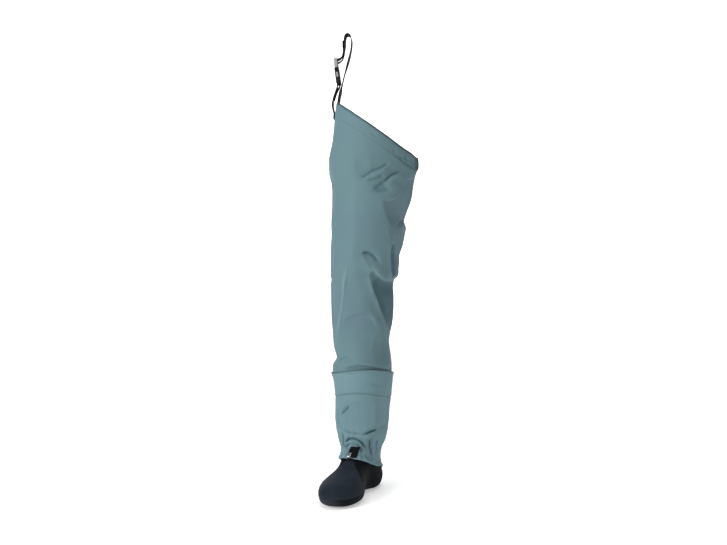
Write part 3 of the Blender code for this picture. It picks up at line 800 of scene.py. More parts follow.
def nearest(
    track: Array, first: Array, second: Array, period: float | None = None
) -> tuple[Array, Array, Array]:
    """Nearest place on a track for each point of a flat chart.

    Args:
        track: Rows of first and second numbers.
        first: First numbers of the points.
        second: Their second numbers.
        period: What the first number may be wrapped by.

    Returns:
        Distance of each point, its side, above 0 to the right, and the share of the track.
    """
    reach = run_of(track)
    best = np.full(first.shape, FAR)
    side = np.zeros(first.shape)
    share = np.zeros(first.shape)
    for k, run in enumerate(np.diff(track, axis=0)):
        across = first - track[k, 0]
        along = second - track[k, 1]
        if period is not None:
            across = (across + period / 2.0) % period - period / 2.0
        part = np.clip((across * run[0] + along * run[1]) / max(TINY, run @ run), 0.0, 1.0)
        gap = np.hypot(across - part * run[0], along - part * run[1])
        near = gap < best
        best = np.where(near, gap, best)
        side = np.where(near, across * run[1] - along * run[0], side)
        share = np.where(near, (reach[k] + part * (reach[k + 1] - reach[k])) / reach[-1], share)
    return best, side, share


@dataclass(frozen=True)
class Spots:
    """Points of a tube: bearings in degrees, and heights and the mean radius in millimetres."""

    bearing: Array
    height: Array
    radius: float


@dataclass(frozen=True)
class Crease:
    """A soft fold along a path of bearings and heights.

    Left and right are its widths to either side, looking along the path from outside, fade is the share
    of the path over which it grows at its start and dies at its end, and tone the share of its depth that
    counts for the cloth's tone, as painted shade in a trough and a painted highlight on a ridge.
    """

    fold: Fold
    depth: float
    left: float
    right: float
    path: Pairs
    fade: tuple[float, float] = (0.3, 0.3)
    crisp: float = 2.0
    tone: float = 1.0

    STEPS = 10

    def lift(self, spots: Spots) -> Array:
        """How far the crease moves the cloth outward.

        Args:
            spots: The points.

        Returns:
            Outward moves in millimetres.
        """
        arc = np.array([math.radians(1.0) * spots.radius, 1.0])
        track = curve_through(np.array(self.path), self.STEPS) * arc
        gap, side, share = nearest(track, spots.bearing * arc[0], spots.height, 360.0 * arc[0])
        width = np.where(side < 0.0, self.left, self.right)
        ends = smoothstep(share / self.fade[0]) * smoothstep((1.0 - share) / self.fade[1])
        return self.fold.value * self.depth * ends * bell(gap, width, self.crisp)


@dataclass(frozen=True)
class Facet:
    """A flat plane of hanging cloth between two edges that run down the leg.

    Rows go down: height, bearings of both edges and the share of full flatness. The brow is the line
    of bearings and heights along which the cloth above breaks over the plane. Shade is painted shade:
    how much deeper than it lies the plane counts for the cloth's tone, and below zero it paints the
    plane lighter.
    """

    rows: tuple[tuple[float, float, float, float], ...]
    brow: Pairs = ()
    shade: float = 0.0
    brow_depth: float = 2.6

    SHADE_DEPTH = 2.0
    TAIL = 58.0
    TAIL_START = 6.0

    def span(self, spots: Spots) -> tuple[Array, Array, Array]:
        """Where points lie on the plane.

        Args:
            spots: The points.

        Returns:
            Turn of each point from the plane's middle, the plane's half width there, both in radians, and
            its share of full flatness.
        """
        table = np.array(self.rows)[::-1]
        start = table[-1, 1]
        height = spots.height
        turn = (spots.bearing - start + 90.0) % 360.0 - 90.0 + start
        first, last, share = (np.interp(height, table[:, 0], table[:, k]) for k in (1, 2, 3))
        share = np.where((height < table[0, 0]) | (height > table[-1, 0]), 0.0, share)
        if self.brow:
            share = share * smoothstep((read_off(turn, self.brow) - height) / self.brow_depth)
        return np.radians(turn - (first + last) / 2.0), np.radians(last - first) / 2.0, share

    def lift(self, spots: Spots) -> Array:
        """How far the facet moves the cloth outward.

        Args:
            spots: The points.

        Returns:
            Outward moves in millimetres, none of them above zero.
        """
        off, half, share = self.span(spots)
        chord = 1.0 - np.cos(half) / np.cos(np.clip(off, -half, half))
        return np.where(np.abs(off) < half, -share * spots.radius * chord, 0.0)

    def tone(self, spots: Spots) -> Array:
        """Painted shade that the facet adds to the cloth's tone, painted light where its shade is below zero,
        which dies away slowly past its second edge.

        Args:
            spots: The points.

        Returns:
            Depths in millimetres.
        """
        off, half, share = self.span(spots)
        chord = 1.0 - np.cos(half) / np.cos(np.clip(off, -half, 0.0))
        tail = smoothstep((self.TAIL - np.degrees(off - half)) / (self.TAIL + self.TAIL_START))
        return -self.shade * smoothstep(share * spots.radius * chord / self.SHADE_DEPTH) * tail


@dataclass(frozen=True)
class Rumple:
    """Soft unevenness of cloth: its sizes round the tube and along it, depth, and place in the pattern."""

    size: tuple[float, float]
    depth: float
    seed: float

    def lift(self, spots: Spots) -> Array:
        """How far the unevenness moves the cloth outward.

        Args:
            spots: The points.

        Returns:
            Outward moves in millimetres.
        """
        turn = np.radians(spots.bearing)
        scale = spots.radius / self.size[0]
        places = [np.sin(turn) * scale, np.cos(turn) * scale, spots.height / self.size[1] + self.seed]
        flat = np.stack(places, axis=-1).reshape(-1, 3)
        return np.array([noise.noise(Vector(place)) for place in flat]).reshape(turn.shape) * self.depth


class Lattice:
    """A grid mesh whose points are set as a table of rows and columns."""

    def __init__(self, name: str, columns: int, rows: int) -> None:
        """Adds a flat grid.

        Args:
            name: The piece's name.
            columns: Faces along its first axis.
            rows: Faces along its second axis.
        """
        deselect()
        bpy.ops.mesh.primitive_grid_add(x_subdivisions=columns, y_subdivisions=rows, size=1.0, calc_uvs=True)
        self.piece = bpy.context.object
        self.piece.name = name
        self.piece.data.name = name
        flat = points_of(self.piece)
        self.column = np.rint((flat[:, 0] + 0.5) * columns).astype(int)
        self.row = np.rint((flat[:, 1] + 0.5) * rows).astype(int)

    def lay(self, points: Array, chart: Array, **held: Array) -> Piece:
        """Moves the grid onto a table of points.

        Args:
            points: Table of places in metres.
            chart: Table of map places in metres along the cloth.
            held: Tables of numbers to store on the points.

        Returns:
            The piece.
        """
        set_points(self.piece, points[self.row, self.column])
        set_chart(self.piece, chart[self.row, self.column])
        for name, table in held.items():
            store(self.piece, name, table[self.row, self.column])
        return self.piece


def tube_normals(points: Array) -> Array:
    """Outward directions over a table of points whose last column lies on its first.

    Args:
        points: Table of rows and columns of places.

    Returns:
        Table of unit directions.
    """
    along = np.gradient(points, axis=0)
    ring = np.concatenate([points[:, -2:-1], points, points[:, 1:2]], axis=1)
    out = np.cross((ring[:, 2:] - ring[:, :-2]) / 2.0, along)
    return out / np.maximum(1e-12, np.linalg.norm(out, axis=2, keepdims=True))


class NodeForm:
    """Outer surface of a solid, asked by rays."""

    START = 0.5
    SEARCH = 0.5 * MM
    SEARCH_STEPS = 160
    HALVINGS = 18

    def __init__(self, node: str) -> None:
        """Reads a solid's mesh.

        Args:
            node: The solid's name.
        """
        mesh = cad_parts[node].data
        faces = [tuple(face.vertices) for face in mesh.polygons]
        self.tree = BVHTree.FromPolygons([v.co.copy() for v in mesh.vertices], faces)
        low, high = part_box(node)
        self.low, self.high = low.z, high.z

    def radius(self, centre: tuple[float, float], bearing: float, height: float) -> float | None:
        """Distance from a centre to the outside at a bearing and height, or None over an opening.

        Args:
            centre: Centre x and y in metres.
            bearing: Bearing in degrees.
            height: Height in metres.

        Returns:
            The distance in metres, or None.
        """
        turn = math.radians(bearing)
        out = Vector((math.sin(turn), -math.cos(turn), 0.0))
        start = Vector((*centre, height)) + out * self.START
        found = self.tree.ray_cast(start, -out, self.START)
        return None if found[0] is None else self.START - found[3]

    def near_radius(
        self, axis: Callable[[float], tuple[float, float]], bearing: float, height: float
    ) -> float | None:
        """Distance to the outside at the height nearest to a given one that has a wall.

        Args:
            axis: Gives the centre x and y in metres at a height.
            bearing: Bearing in degrees.
            height: Height in metres.

        Returns:
            The distance in metres, or None.
        """
        for off in np.arange(self.SEARCH_STEPS) * self.SEARCH:
            for spot in (height - off, height + off):
                found = self.radius(axis(spot), bearing, spot)
                if found is not None:
                    return found
        return None

    def edge(self, centre: tuple[float, float], bearing: float, inside: float, outside: float) -> float:
        """Height of a rim at a bearing, between a height on the wall and one past its rim.

        Args:
            centre: Centre x and y in metres.
            bearing: Bearing in degrees.
            inside: A height on the wall.
            outside: A height past the rim.

        Returns:
            The rim's height in metres.
        """
        for _ in range(self.HALVINGS):
            middle = 0.5 * (inside + outside)
            if self.radius(centre, bearing, middle) is None:
                outside = middle
            else:
                inside = middle
        return inside


@dataclass
class ClothTube:
    """A sleeve of cloth wrapped on a solid, with listed creases."""

    name: str
    node: str
    columns: int
    levels: Array
    radius: float
    wall: float
    axis: tuple[Place, ...]
    creases: tuple[Crease, ...]
    facets: tuple[Facet, ...]
    rumples: tuple[Rumple, ...]
    inner_ease: Pairs
    outer_ease: Pairs

    DENSE_FRONT = (-78.0, 20.0, 114.0, 20.0)
    FRONT_SHARE = 0.8
    INSET = 0.4 * MM
    REACH_BLUR = (2.2, 1.6)
    FLAT_BLUR = (0.7, 0.7)

    def __post_init__(self) -> None:
        """Reads the solid."""
        self.form = NodeForm(self.node)
        self.rims: dict[float, float] = {}

    def find_rim(self, bearing: float) -> float:
        """Height in metres of the sleeve's free edge at a bearing, read off the solid."""
        raise NotImplementedError

    def height(self, level: float, bearing: float) -> float:
        """Height in metres of a level at a bearing."""
        raise NotImplementedError

    def extra(self, spots: Spots) -> Array:
        """Outward moves in millimetres beside the creases."""
        raise NotImplementedError

    def edge_tone(self, spots: Spots) -> Array:
        """Share of the dark edge colour."""
        raise NotImplementedError

    def centre(self, height: float) -> tuple[float, float]:
        """Centre of the sleeve at a height in metres."""
        heights, *places = np.array(self.axis).T * MM
        return tuple(float(np.interp(height, heights, place)) for place in places)

    def rim(self, bearing: float) -> float:
        """Height in metres of the sleeve's free edge at a bearing."""
        if bearing not in self.rims:
            self.rims[bearing] = self.find_rim(bearing)
        return self.rims[bearing]

    def over_rim(self, spots: Spots) -> Array:
        """How far each point lies over the free edge, in millimetres."""
        rims = np.array([self.rim(float(b)) for b in spots.bearing[0]]) / MM
        return spots.height - rims[None, :]

    def uneven(self, spots: Spots) -> Array:
        """Moves of all the sleeve's unevenness, in millimetres."""
        return sum(rumple.lift(spots) for rumple in self.rumples)

    def ease(self, spots: Spots) -> Array:
        """Outward moves in millimetres at both sides, which leave the tone alone.

        Args:
            spots: The points.

        Returns:
            The moves.
        """
        side = np.sin(np.radians(spots.bearing))
        inner, outer = (read_off(spots.height, table) for table in (self.inner_ease, self.outer_ease))
        return inner * np.maximum(0.0, side) ** 4 + outer * np.maximum(0.0, -side) ** 4

    def sample(self) -> tuple[Array, Array]:
        """Bearings of the columns, denser at the front, and heights in metres of every point."""
        even = np.linspace(-180.0, 180.0, 721)
        weight = 1.0 + self.FRONT_SHARE * between(even, *self.DENSE_FRONT)
        run = np.concatenate([[0.0], np.cumsum(0.5 * (weight[1:] + weight[:-1]))])
        bearings = np.interp(np.linspace(0.0, run[-1], self.columns + 1), run, even)
        heights = np.array([[self.height(level, bearing) for bearing in bearings] for level in self.levels])
        return bearings, heights

    def wrap(self, bearings: Array, heights: Array) -> Array:
        """Lays points on the outside of the solid.

        Args:
            bearings: Bearings of the columns in degrees.
            heights: Heights in metres of every point.

        Returns:
            Table of places in metres.
        """
        reach = np.empty_like(heights)
        for spot in np.ndindex(heights.shape):
            z = min(max(heights[spot], self.form.low + self.INSET), self.form.high - self.INSET)
            found = self.form.near_radius(self.centre, bearings[spot[1]], z)
            reach[spot] = self.radius * MM if found is None else found
        reach = soften(reach, *self.REACH_BLUR)
        turn = np.radians(bearings)[None, :]
        middle = np.array([[self.centre(z) for z in row] for row in heights])
        x = middle[..., 0] + reach * np.sin(turn)
        y = middle[..., 1] - reach * np.cos(turn)
        return np.stack([x, y, heights], axis=2)

    def shape(self, spots: Spots) -> tuple[Array, Array]:
        """Adds up facets, creases and all other moves.

        Args:
            spots: The points.

        Returns:
            Outward moves in millimetres, and the depths that the cloth's tone follows, which carry its
            painted shade and highlights.
        """
        flats = np.zeros_like(spots.height)
        shades = np.zeros_like(spots.height)
        for facet in self.facets:
            flats = np.minimum(flats, facet.lift(spots))
            shades += facet.tone(spots)
        lift = self.extra(spots)
        shades += lift
        for crease in self.creases:
            moved = crease.lift(spots)
            lift += moved
            shades += crease.tone * moved
        lift[:, -1] = lift[:, 0]
        return lift + soften(flats, *self.FLAT_BLUR) + self.ease(spots), shades

    def build(self, cloth: ClothFinish) -> Piece:
        """Wraps a grid on the solid, creases it and gives it its wall and lining.

        Args:
            cloth: The finish of its outside.

        Returns:
            The sleeve as one closed piece.
        """
        bearings, heights = self.sample()
        turn = np.radians(bearings)[None, :] + np.zeros_like(heights)
        spots = Spots(np.degrees(turn), heights / MM, self.radius)
        moved, shades = self.shape(spots)
        points = self.wrap(bearings, heights)
        self.points = points + tube_normals(points) * (moved * MM)[..., None]
        chart = np.stack([turn * self.radius * MM, heights], axis=2)
        lattice = Lattice(self.name, self.columns, len(self.levels) - 1)
        # fold carries the painted shade and highlights; edge carries the dark edge band with its painted
        # shade
        piece = lattice.lay(self.points, chart, fold=shades, edge=self.edge_tone(spots))
        dress(piece, cloth.material(), LINING.material())
        edit(piece, ("remove_doubles", {"threshold": 0.02 * MM}))
        apply_modifier(
            piece, "SOLIDIFY", thickness=self.wall * MM, offset=-1.0, use_even_offset=True,
            material_offset=1, material_offset_rim=0,
        )
        smooth(piece, 60.0)
        return piece

    def line(self, level: float) -> tuple[Array, Array]:
        """Points and outward directions along a level of the finished sleeve.

        Args:
            level: The level.

        Returns:
            Rows of places in metres, and rows of unit directions.
        """
        low = int(np.clip(np.searchsorted(self.levels, level) - 1, 0, len(self.levels) - 2))
        share = (level - self.levels[low]) / (self.levels[low + 1] - self.levels[low])
        spots = self.points[low] * (1.0 - share) + self.points[low + 1] * share
        return spots, tube_normals(self.points)[low]


@dataclass
class Stitches:
    """Rows of thread stitches joined in one mesh."""

    name: str
    length: float = 2.6
    width: float = 0.5
    pitch: float = 3.4
    lift: float = 0.15

    def template(self) -> tuple[Array, list[tuple[int, ...]]]:
        """One stitch, a small rounded bar along x.

        Returns:
            Its points in metres and its faces.
        """
        deselect()
        bpy.ops.mesh.primitive_uv_sphere_add(segments=6, ring_count=5, radius=1.0)
        bar = bpy.context.object
        activate(bar)
        size = (0.5 * self.length * MM, 0.5 * self.width * MM, 0.45 * self.width * MM)
        bpy.ops.transform.resize(value=size)
        bpy.ops.object.transform_apply(location=True, rotation=True, scale=True)
        points = points_of(bar)
        faces = [tuple(face.vertices) for face in bar.data.polygons]
        bpy.data.objects.remove(bar)
        return points, faces

    def build(self, rows: list[tuple[Array, Array]]) -> Piece:
        """Lays stitches along rows of places.

        Args:
            rows: For each row its places and outward directions.

        Returns:
            The joined stitches.
        """
        base, faces = self.template()
        points: list[Array] = []
        joined: list[tuple[int, ...]] = []
        for places, outs in rows:
            reach = run_of(places)
            steps = np.diff(reach)
            count = max(1, int(reach[-1] / (self.pitch * MM)))
            for spot in (np.arange(count) + 0.5) * reach[-1] / count:
                k = int(np.clip(np.searchsorted(reach, spot) - 1, 0, len(steps) - 1))
                share = (spot - reach[k]) / max(TINY, steps[k])
                middle = places[k] * (1.0 - share) + places[k + 1] * share
                along = (places[k + 1] - places[k]) / max(TINY, steps[k])
                out = outs[k] - along * (outs[k] @ along)
                out = out / max(TINY, np.linalg.norm(out))
                turn = np.stack([along, np.cross(out, along), out])
                start = len(points) * len(base)
                points.append(base @ turn + middle + out * self.lift * MM)
                joined += [tuple(start + index for index in face) for face in faces]
        mesh = bpy.data.meshes.new(self.name)
        mesh.from_pydata(np.concatenate(points).tolist(), [], joined)
        piece = bpy.data.objects.new(self.name, mesh)
        bpy.context.scene.collection.objects.link(piece)
        smooth(piece)
        dress(piece, SHELL_THREAD.material())
        return piece


TROUGH, RIDGE = Fold

LEG_AXIS = ((151.0, 2.5, 1.0), (466.0, 0.0, -1.0), (560.0, 9.0, 0.0), (743.0, 25.5, 3.0), (885.0, 30.7, 2.5))

LEG_FACETS = (
    # inner thigh, down past the knee flap, painted lighter by its shade below zero
    Facet(
        (
            (720, 22, 91, 0.40), (650, 22, 91, 0.66), (638, 24, 91, 0.68), (622, 28, 91, 0.68),
            (610, 34, 91, 0.70), (596, 41, 91, 0.76), (581, 45, 91, 0.85), (562, 47, 91, 1.0),
            (543, 48, 91, 1.0), (526, 51, 91, 1.0), (499, 55, 91, 1.0), (482, 64, 91, 0.8),
            (474, 69, 91, 0.0),
        ),
        ((22, 652), (32, 654), (42, 658), (47, 665), (53, 680), (62, 703), (91, 714)),
        -1.0,
    ),
    # hollow beside the shin, with painted shade in it
    Facet(
        (
            (498, 14, 91, 1.0), (485, 15, 91, 1.05), (472, 19, 91, 1.1), (454, 24, 91, 1.1),
            (438, 30, 91, 1.1), (423, 36, 92, 1.1), (407, 42, 92, 1.0), (395, 46, 92, 0.9),
            (374, 57, 94, 0.7), (362, 66, 96, 0.45), (345, 78, 100, 0.0),
        ),
        ((13, 496), (22, 496), (27, 487), (33, 480), (43, 474), (58, 471), (91, 471)),
        3.6,
    ),
    # outer side of the thigh and calf
    Facet((
        (742, -88, -17, 0.0), (696, -88, -18, 0.4), (620, -88, -15, 0.5), (565, -88, -13, 0.5),
        (520, -88, -17, 0.55), (472, -88, -22, 0.6), (432, -88, -24, 0.65), (405, -88, -27, 0.65),
        (353, -88, -45, 0.5), (310, -88, -55, 0.0),
    )),
    # front of the shin
    Facet((
        (490, -21, 14, 0.0), (472, -22, 16, 0.7), (438, -23, 27, 0.7), (405, -26, 40, 0.3),
        (375, -38, 55, 0.0),
    )),
    Facet(
        (
            (410, -27, 32, 0.65), (380, -34, 42, 0.65), (340, -40, 44, 0.5), (306, -40, 44, 0.0),
        ),
        ((-27, 390), (-19, 398), (-2, 404), (15, 406), (24, 396), (32, 380)),
        brow_depth=7.0,
    ),
    # front of the thigh
    Facet((
        (838, -25, 55, 0.0), (790, -25, 58, 0.35), (720, -20, 58, 0.45), (690, -17, 50, 0.4),
        (655, -16, 22, 0.3), (600, -14, 38, 0.3), (545, -14, 46, 0.3), (500, -18, 52, 0.0),
    )),
    # back of the thigh and calf
    Facet((
        (640, 118, 178, 0.0), (600, 116, 176, 0.5), (540, 112, 170, 0.5), (500, 112, 168, 0.0),
    )),
    Facet((
        (470, 186, 250, 0.0), (430, 186, 250, 0.5), (360, 190, 254, 0.5), (310, 190, 254, 0.0),
    )),
)

LEG_CREASES = (
    # thigh, under the slanted hem
    Crease(TROUGH, 4.4, 7.5, 2.2, ((-13, 698), (-4, 706), (3, 714), (11, 720), (19, 726), (29, 736)),
           (0.18, 0.22), 1.4),
    Crease(RIDGE, 2.2, 3.0, 8.0, ((-4, 701), (12, 711), (20, 717), (29, 726)), (0.35, 0.35), 1.6),
    Crease(TROUGH, 4.2, 3.6, 2.0, ((-2, 694), (10, 699), (22, 707)), (0.2, 0.25), 1.4),
    Crease(TROUGH, 5.4, 5.5, 2.2, ((18, 684), (21, 689), (26, 698), (34, 709), (48, 718), (55, 719)),
           (0.3, 0.4), 1.4, 0.8),
    Crease(RIDGE, 2.2, 2.6, 11.0, ((25, 688), (31, 698), (39, 706), (51, 712)), (0.3, 0.35), 1.6),
    Crease(TROUGH, 3.6, 11.0, 2.4, ((22, 696), (14, 685), (4, 670)), (0.25, 0.4), 1.4),
    Crease(TROUGH, 2.4, 8.0, 3.0, ((5, 668), (19, 673), (34, 678)), (0.4, 0.35), 1.4),
    Crease(RIDGE, 3.4, 3.5, 3.5, ((90, 770), (90, 742), (90, 714)), (0.05, 0.4), 1.3),
    Crease(RIDGE, 2.4, 12.0, 14.0, ((-52, 775), (-58, 745), (-61, 722), (-66, 690)), (0.35, 0.3), 1.6),
    Crease(RIDGE, 1.4, 3.0, 5.0, ((-60, 842), (-57, 822), (-54, 800)), (0.35, 0.4), 1.5),
    Crease(TROUGH, 2.6, 3.0, 5.0, ((-95, 706), (-78, 696), (-58, 692)), (0.3, 0.5), 1.5),
    # puckers in the hem's inner corner
    Crease(TROUGH, 2.4, 2.6, 2.6, ((38, 753), (43, 748), (48, 744)), (0.35, 0.35), 1.5),
    Crease(TROUGH, 2.8, 2.6, 2.6, ((46, 756), (50, 748), (54, 740)), (0.35, 0.35), 1.5),
    Crease(TROUGH, 2.0, 3.0, 3.0, ((56, 750), (62, 740), (67, 728)), (0.35, 0.35), 1.5),
    Crease(TROUGH, 1.6, 2.6, 3.0, ((27, 766), (32, 761), (36, 756)), (0.35, 0.35), 1.5),
    Crease(TROUGH, 1.2, 2.6, 2.6, ((-1, 800), (4, 795), (8, 789)), (0.35, 0.35), 1.5),
    # lower thigh, inner side
    Crease(RIDGE, 1.4, 3.0, 20.0, ((19, 656), (23, 638), (28, 622), (34, 610), (44, 582)), (0.2, 0.3), 1.4),
    Crease(RIDGE, 1.6, 3.0, 3.0, ((34, 592), (37, 580), (38, 568)), (0.35, 0.35), 1.6),
    Crease(TROUGH, 3.4, 4.0, 3.0, ((50, 594), (64, 600), (83, 611), (110, 608)), (0.45, 0.5), 1.5),
    Crease(RIDGE, 2.5, 8.0, 8.0, ((62, 584), (82, 594), (110, 590)), (0.4, 0.4)),
    # knee flap and its crease
    Crease(RIDGE, 2.0, 2.6, 16.0, ((44, 572), (46, 543), (48, 525), (53, 499), (66, 478)),
           (0.25, 0.15), 1.4),
    Crease(TROUGH, 6.0, 11.0, 2.6, ((50, 562), (51, 543), (54, 525), (59, 499), (72, 479)),
           (0.12, 0.2), 1.4),
    Crease(RIDGE, 4.0, 20.0, 3.5, ((64, 487), (78, 484), (95, 485), (120, 492)), (0.3, 0.4), 1.8, 0.2),
    Crease(TROUGH, 5.0, 2.2, 8.0, ((-1, 532), (2, 535), (5, 537), (13, 535), (19, 530), (28, 518),
           (38, 510)), (0.12, 0.4), 1.4),
    Crease(RIDGE, 1.8, 3.0, 14.0, ((0, 533), (2, 532), (8, 516), (12, 503), (15, 492)), (0.25, 0.2), 1.5),
    Crease(RIDGE, 2.2, 12.0, 3.0, ((10, 497), (20, 497), (27, 488), (34, 481), (44, 475), (70, 472)),
           (0.2, 0.2), 1.7),
    # inner edge of the shin
    Crease(RIDGE, 2.0, 4.0, 16.0, ((12, 492), (18, 472), (23, 454), (29, 438), (41, 407), (55, 374)),
           (0.12, 0.4), 1.4),
    Crease(TROUGH, 3.0, 14.0, 5.0, ((23, 482), (30, 454), (38, 434), (51, 404), (68, 372)),
           (0.15, 0.45), 1.8),
    # painted shade behind the knee flap and along the inner thigh: shallow troughs whose tone counts several
    # times their depth
    Crease(TROUGH, 1.5, 46.0, 3.0, ((54, 590), (56, 560), (58, 532), (62, 508), (67, 489), (71, 478)),
           (0.75, 0.04), 1.6, 3.6),
    Crease(TROUGH, 0.8, 14.0, 9.0, ((82, 716), (82, 660), (82, 622)), (0.2, 0.3), tone=3.0),
    # outer edge of the shin, and the calf above the guard
    Crease(RIDGE, 4.4, 3.0, 13.0, ((-21, 543), (-23, 516), (-24, 476), (-29, 432), (-37, 387),
           (-45, 353), (-54, 318)), (0.3, 0.3), 1.5),
    Crease(RIDGE, 1.4, 10.0, 5.0, ((44, 372), (28, 340), (18, 306)), (0.4, 0.3), 1.6),
    Crease(TROUGH, 2.6, 6.0, 2.4, ((-58, 290), (-32, 301), (-12, 298)), (0.35, 0.35), 1.5),
    Crease(TROUGH, 2.4, 3.0, 4.0, ((-84, 283), (-64, 281), (-40, 283)), (0.3, 0.4), 1.5),
    # blouse over the guard
    Crease(RIDGE, 7.0, 12.0, 3.4, ((-30, 280), (-13, 286), (-2, 289), (14, 288), (34, 283), (56, 278),
           (80, 276)), (0.1, 0.3), 1.8, 0.0),
    Crease(TROUGH, 4.0, 16.0, 8.0, ((-136, 297), (-88, 298), (-56, 298)), (0.3, 0.35), tone=0.2),
    Crease(RIDGE, 3.0, 9.0, 4.0, ((-140, 276), (-115, 279), (-85, 275)), tone=0.0),
    Crease(RIDGE, 3.5, 10.0, 4.0, ((150, 276), (178, 281), (205, 277)), tone=0.0),
    # back of the knee and calf
    Crease(TROUGH, 5.0, 4.0, 11.0, ((112, 545), (150, 528), (190, 536)), (0.4, 0.4), 1.5, 0.4),
    Crease(RIDGE, 3.0, 10.0, 6.0, ((110, 557), (148, 542), (186, 550)), (0.4, 0.4)),
    Crease(TROUGH, 5.0, 11.0, 4.0, ((236, 522), (204, 500), (162, 496), (128, 508)), (0.4, 0.4), 1.5, 0.4),
    Crease(TROUGH, 4.0, 4.0, 10.0, ((118, 470), (146, 452), (180, 458), (214, 476)), (0.4, 0.4), 1.5, 0.4),
    Crease(TROUGH, 3.0, 6.0, 12.0, ((196, 430), (180, 395), (158, 352)), (0.4, 0.4), 1.6, 0.4),
    Crease(RIDGE, 2.4, 10.0, 10.0, ((226, 450), (214, 400), (206, 345)), (0.4, 0.4)),
    # seat of the thigh
    Crease(TROUGH, 4.0, 4.0, 12.0, ((118, 700), (148, 672), (182, 662)), (0.4, 0.4), 1.5, 0.4),
    Crease(TROUGH, 3.4, 6.0, 12.0, ((230, 740), (208, 702), (198, 650)), (0.4, 0.4), 1.6, 0.4),
    Crease(RIDGE, 2.6, 14.0, 10.0, ((124, 640), (154, 616), (196, 612)), (0.4, 0.4)),
    # outer side, the first one a painted highlight along the leg
    Crease(RIDGE, 0.8, 9.0, 8.0, ((-69, 775), (-72, 700), (-72, 600), (-70, 500), (-68, 420),
           (-66, 340)), (0.12, 0.2), tone=3.4),
    Crease(TROUGH, 2.2, 8.0, 12.0, ((-118, 640), (-96, 600), (-82, 548)), (0.4, 0.4), tone=0.4),
    Crease(TROUGH, 2.0, 5.0, 9.0, ((-122, 500), (-98, 480), (-74, 476)), (0.4, 0.4), tone=0.4),
)

GUARD_AXIS = ((30.0, -4.0, -6.0), (90.0, -2.0, -8.0), (130.0, 0.0, -4.0), (261.0, 1.2, 2.0))

GUARD_FACETS = (
    Facet((
        (236, 29, 91, 0.0), (209, 28, 91, 0.55), (186, 29, 91, 0.75), (145, 30, 91, 0.75),
        (126, 31, 91, 0.0),
    )),
    Facet((
        (208, -40, 28, 0.0), (190, -39, 29, 0.5), (150, -40, 30, 0.6), (134, -40, 30, 0.0),
    )),
)

GUARD_CREASES = (
    Crease(TROUGH, 4.6, 6.0, 2.0, ((-41, 172), (-39, 174), (-27, 187), (-16, 200)), (0.2, 0.4), 1.4),
    Crease(RIDGE, 1.4, 2.4, 8.0, ((-38, 170), (-25, 183), (-14, 196)), (0.25, 0.4), 1.6),
    Crease(TROUGH, 5.0, 3.0, 5.0, ((-56, 190), (-52, 176), (-49, 160), (-49, 150), (-39, 141)),
           (0.3, 0.3), 1.4),
    Crease(RIDGE, 1.6, 8.0, 3.0, ((-47, 182), (-44, 164), (-42, 152)), (0.3, 0.3), 1.6),
    Crease(TROUGH, 3.0, 7.0, 2.4, ((-42, 144), (-25, 138), (-11, 135), (2, 136), (12, 137)),
           (0.25, 0.3), 1.5),
    Crease(TROUGH, 7.0, 4.4, 2.0, ((3, 131), (9, 133), (15, 134), (30, 139), (40, 143)), (0.3, 0.3), 1.4),
    Crease(RIDGE, 2.4, 2.4, 6.0, ((-30, 134), (-11, 130), (3, 128), (16, 130), (32, 134)),
           (0.25, 0.3), 1.6),
    Crease(TROUGH, 6.2, 2.3, 2.3, ((-26, 109), (-25, 114), (-19, 122), (-11, 124), (-3, 122),
           (5, 115), (12, 105), (19, 94)), (0.12, 0.2), 1.5),
    Crease(RIDGE, 2.8, 2.6, 2.6, ((-22, 108), (-17, 116), (-10, 118), (-4, 116), (2, 110), (8, 99)),
           (0.2, 0.2)),
    Crease(TROUGH, 5.0, 2.2, 2.2, ((-28, 98), (-26, 101), (-22, 107), (-16, 111)), (0.2, 0.3), 1.5),
    Crease(TROUGH, 4.4, 2.2, 2.2, ((-8, 113), (-2, 111), (3, 103), (6, 92)), (0.3, 0.2), 1.5),
    Crease(TROUGH, 5.4, 3.0, 2.6, ((-37, 137), (-34, 128), (-32, 108), (-30, 98)), (0.3, 0.2), 1.5),
    Crease(TROUGH, 5.2, 2.6, 2.6, ((17, 130), (19, 124), (24, 102), (34, 86), (40, 81)), (0.3, 0.15), 1.5),
    Crease(TROUGH, 4.6, 2.8, 3.4, ((38, 124), (42, 112), (53, 90), (53, 72)), (0.3, 0.15), 1.5),
    Crease(TROUGH, 3.0, 2.6, 2.6, ((10, 92), (16, 84), (22, 76)), (0.3, 0.2), 1.5),
    Crease(TROUGH, 2.8, 2.6, 2.6, ((28, 108), (31, 96), (32, 82)), (0.3, 0.2), 1.5),
    Crease(TROUGH, 3.0, 4.0, 5.0, ((66, 70), (66, 94), (72, 122)), (0.2, 0.5), 1.5),
    Crease(TROUGH, 2.8, 4.0, 5.0, ((-54, 90), (-52, 112), (-50, 136)), (0.2, 0.5), 1.5),
    Crease(TROUGH, 2.6, 4.0, 5.0, ((-78, 82), (-74, 108), (-66, 132)), (0.2, 0.5), 1.5),
    Crease(TROUGH, 2.0, 3.0, 4.0, ((-24, 264), (-12, 267), (0, 266)), (0.35, 0.4), 1.5),
    Crease(TROUGH, 1.8, 9.0, 5.0, ((12, 250), (30, 240), (52, 243)), (0.4, 0.4)),
    Crease(TROUGH, 2.6, 4.0, 7.0, ((100, 110), (120, 126), (150, 128)), (0.4, 0.4), 1.5),
    Crease(TROUGH, 3.0, 4.0, 8.0, ((164, 118), (190, 132), (226, 126)), (0.4, 0.4), 1.5),
    Crease(TROUGH, 2.2, 5.0, 9.0, ((128, 180), (150, 170), (182, 176)), (0.4, 0.4), 1.5),
    Crease(RIDGE, 1.8, 8.0, 8.0, ((210, 240), (222, 200), (230, 160)), (0.4, 0.4)),
)


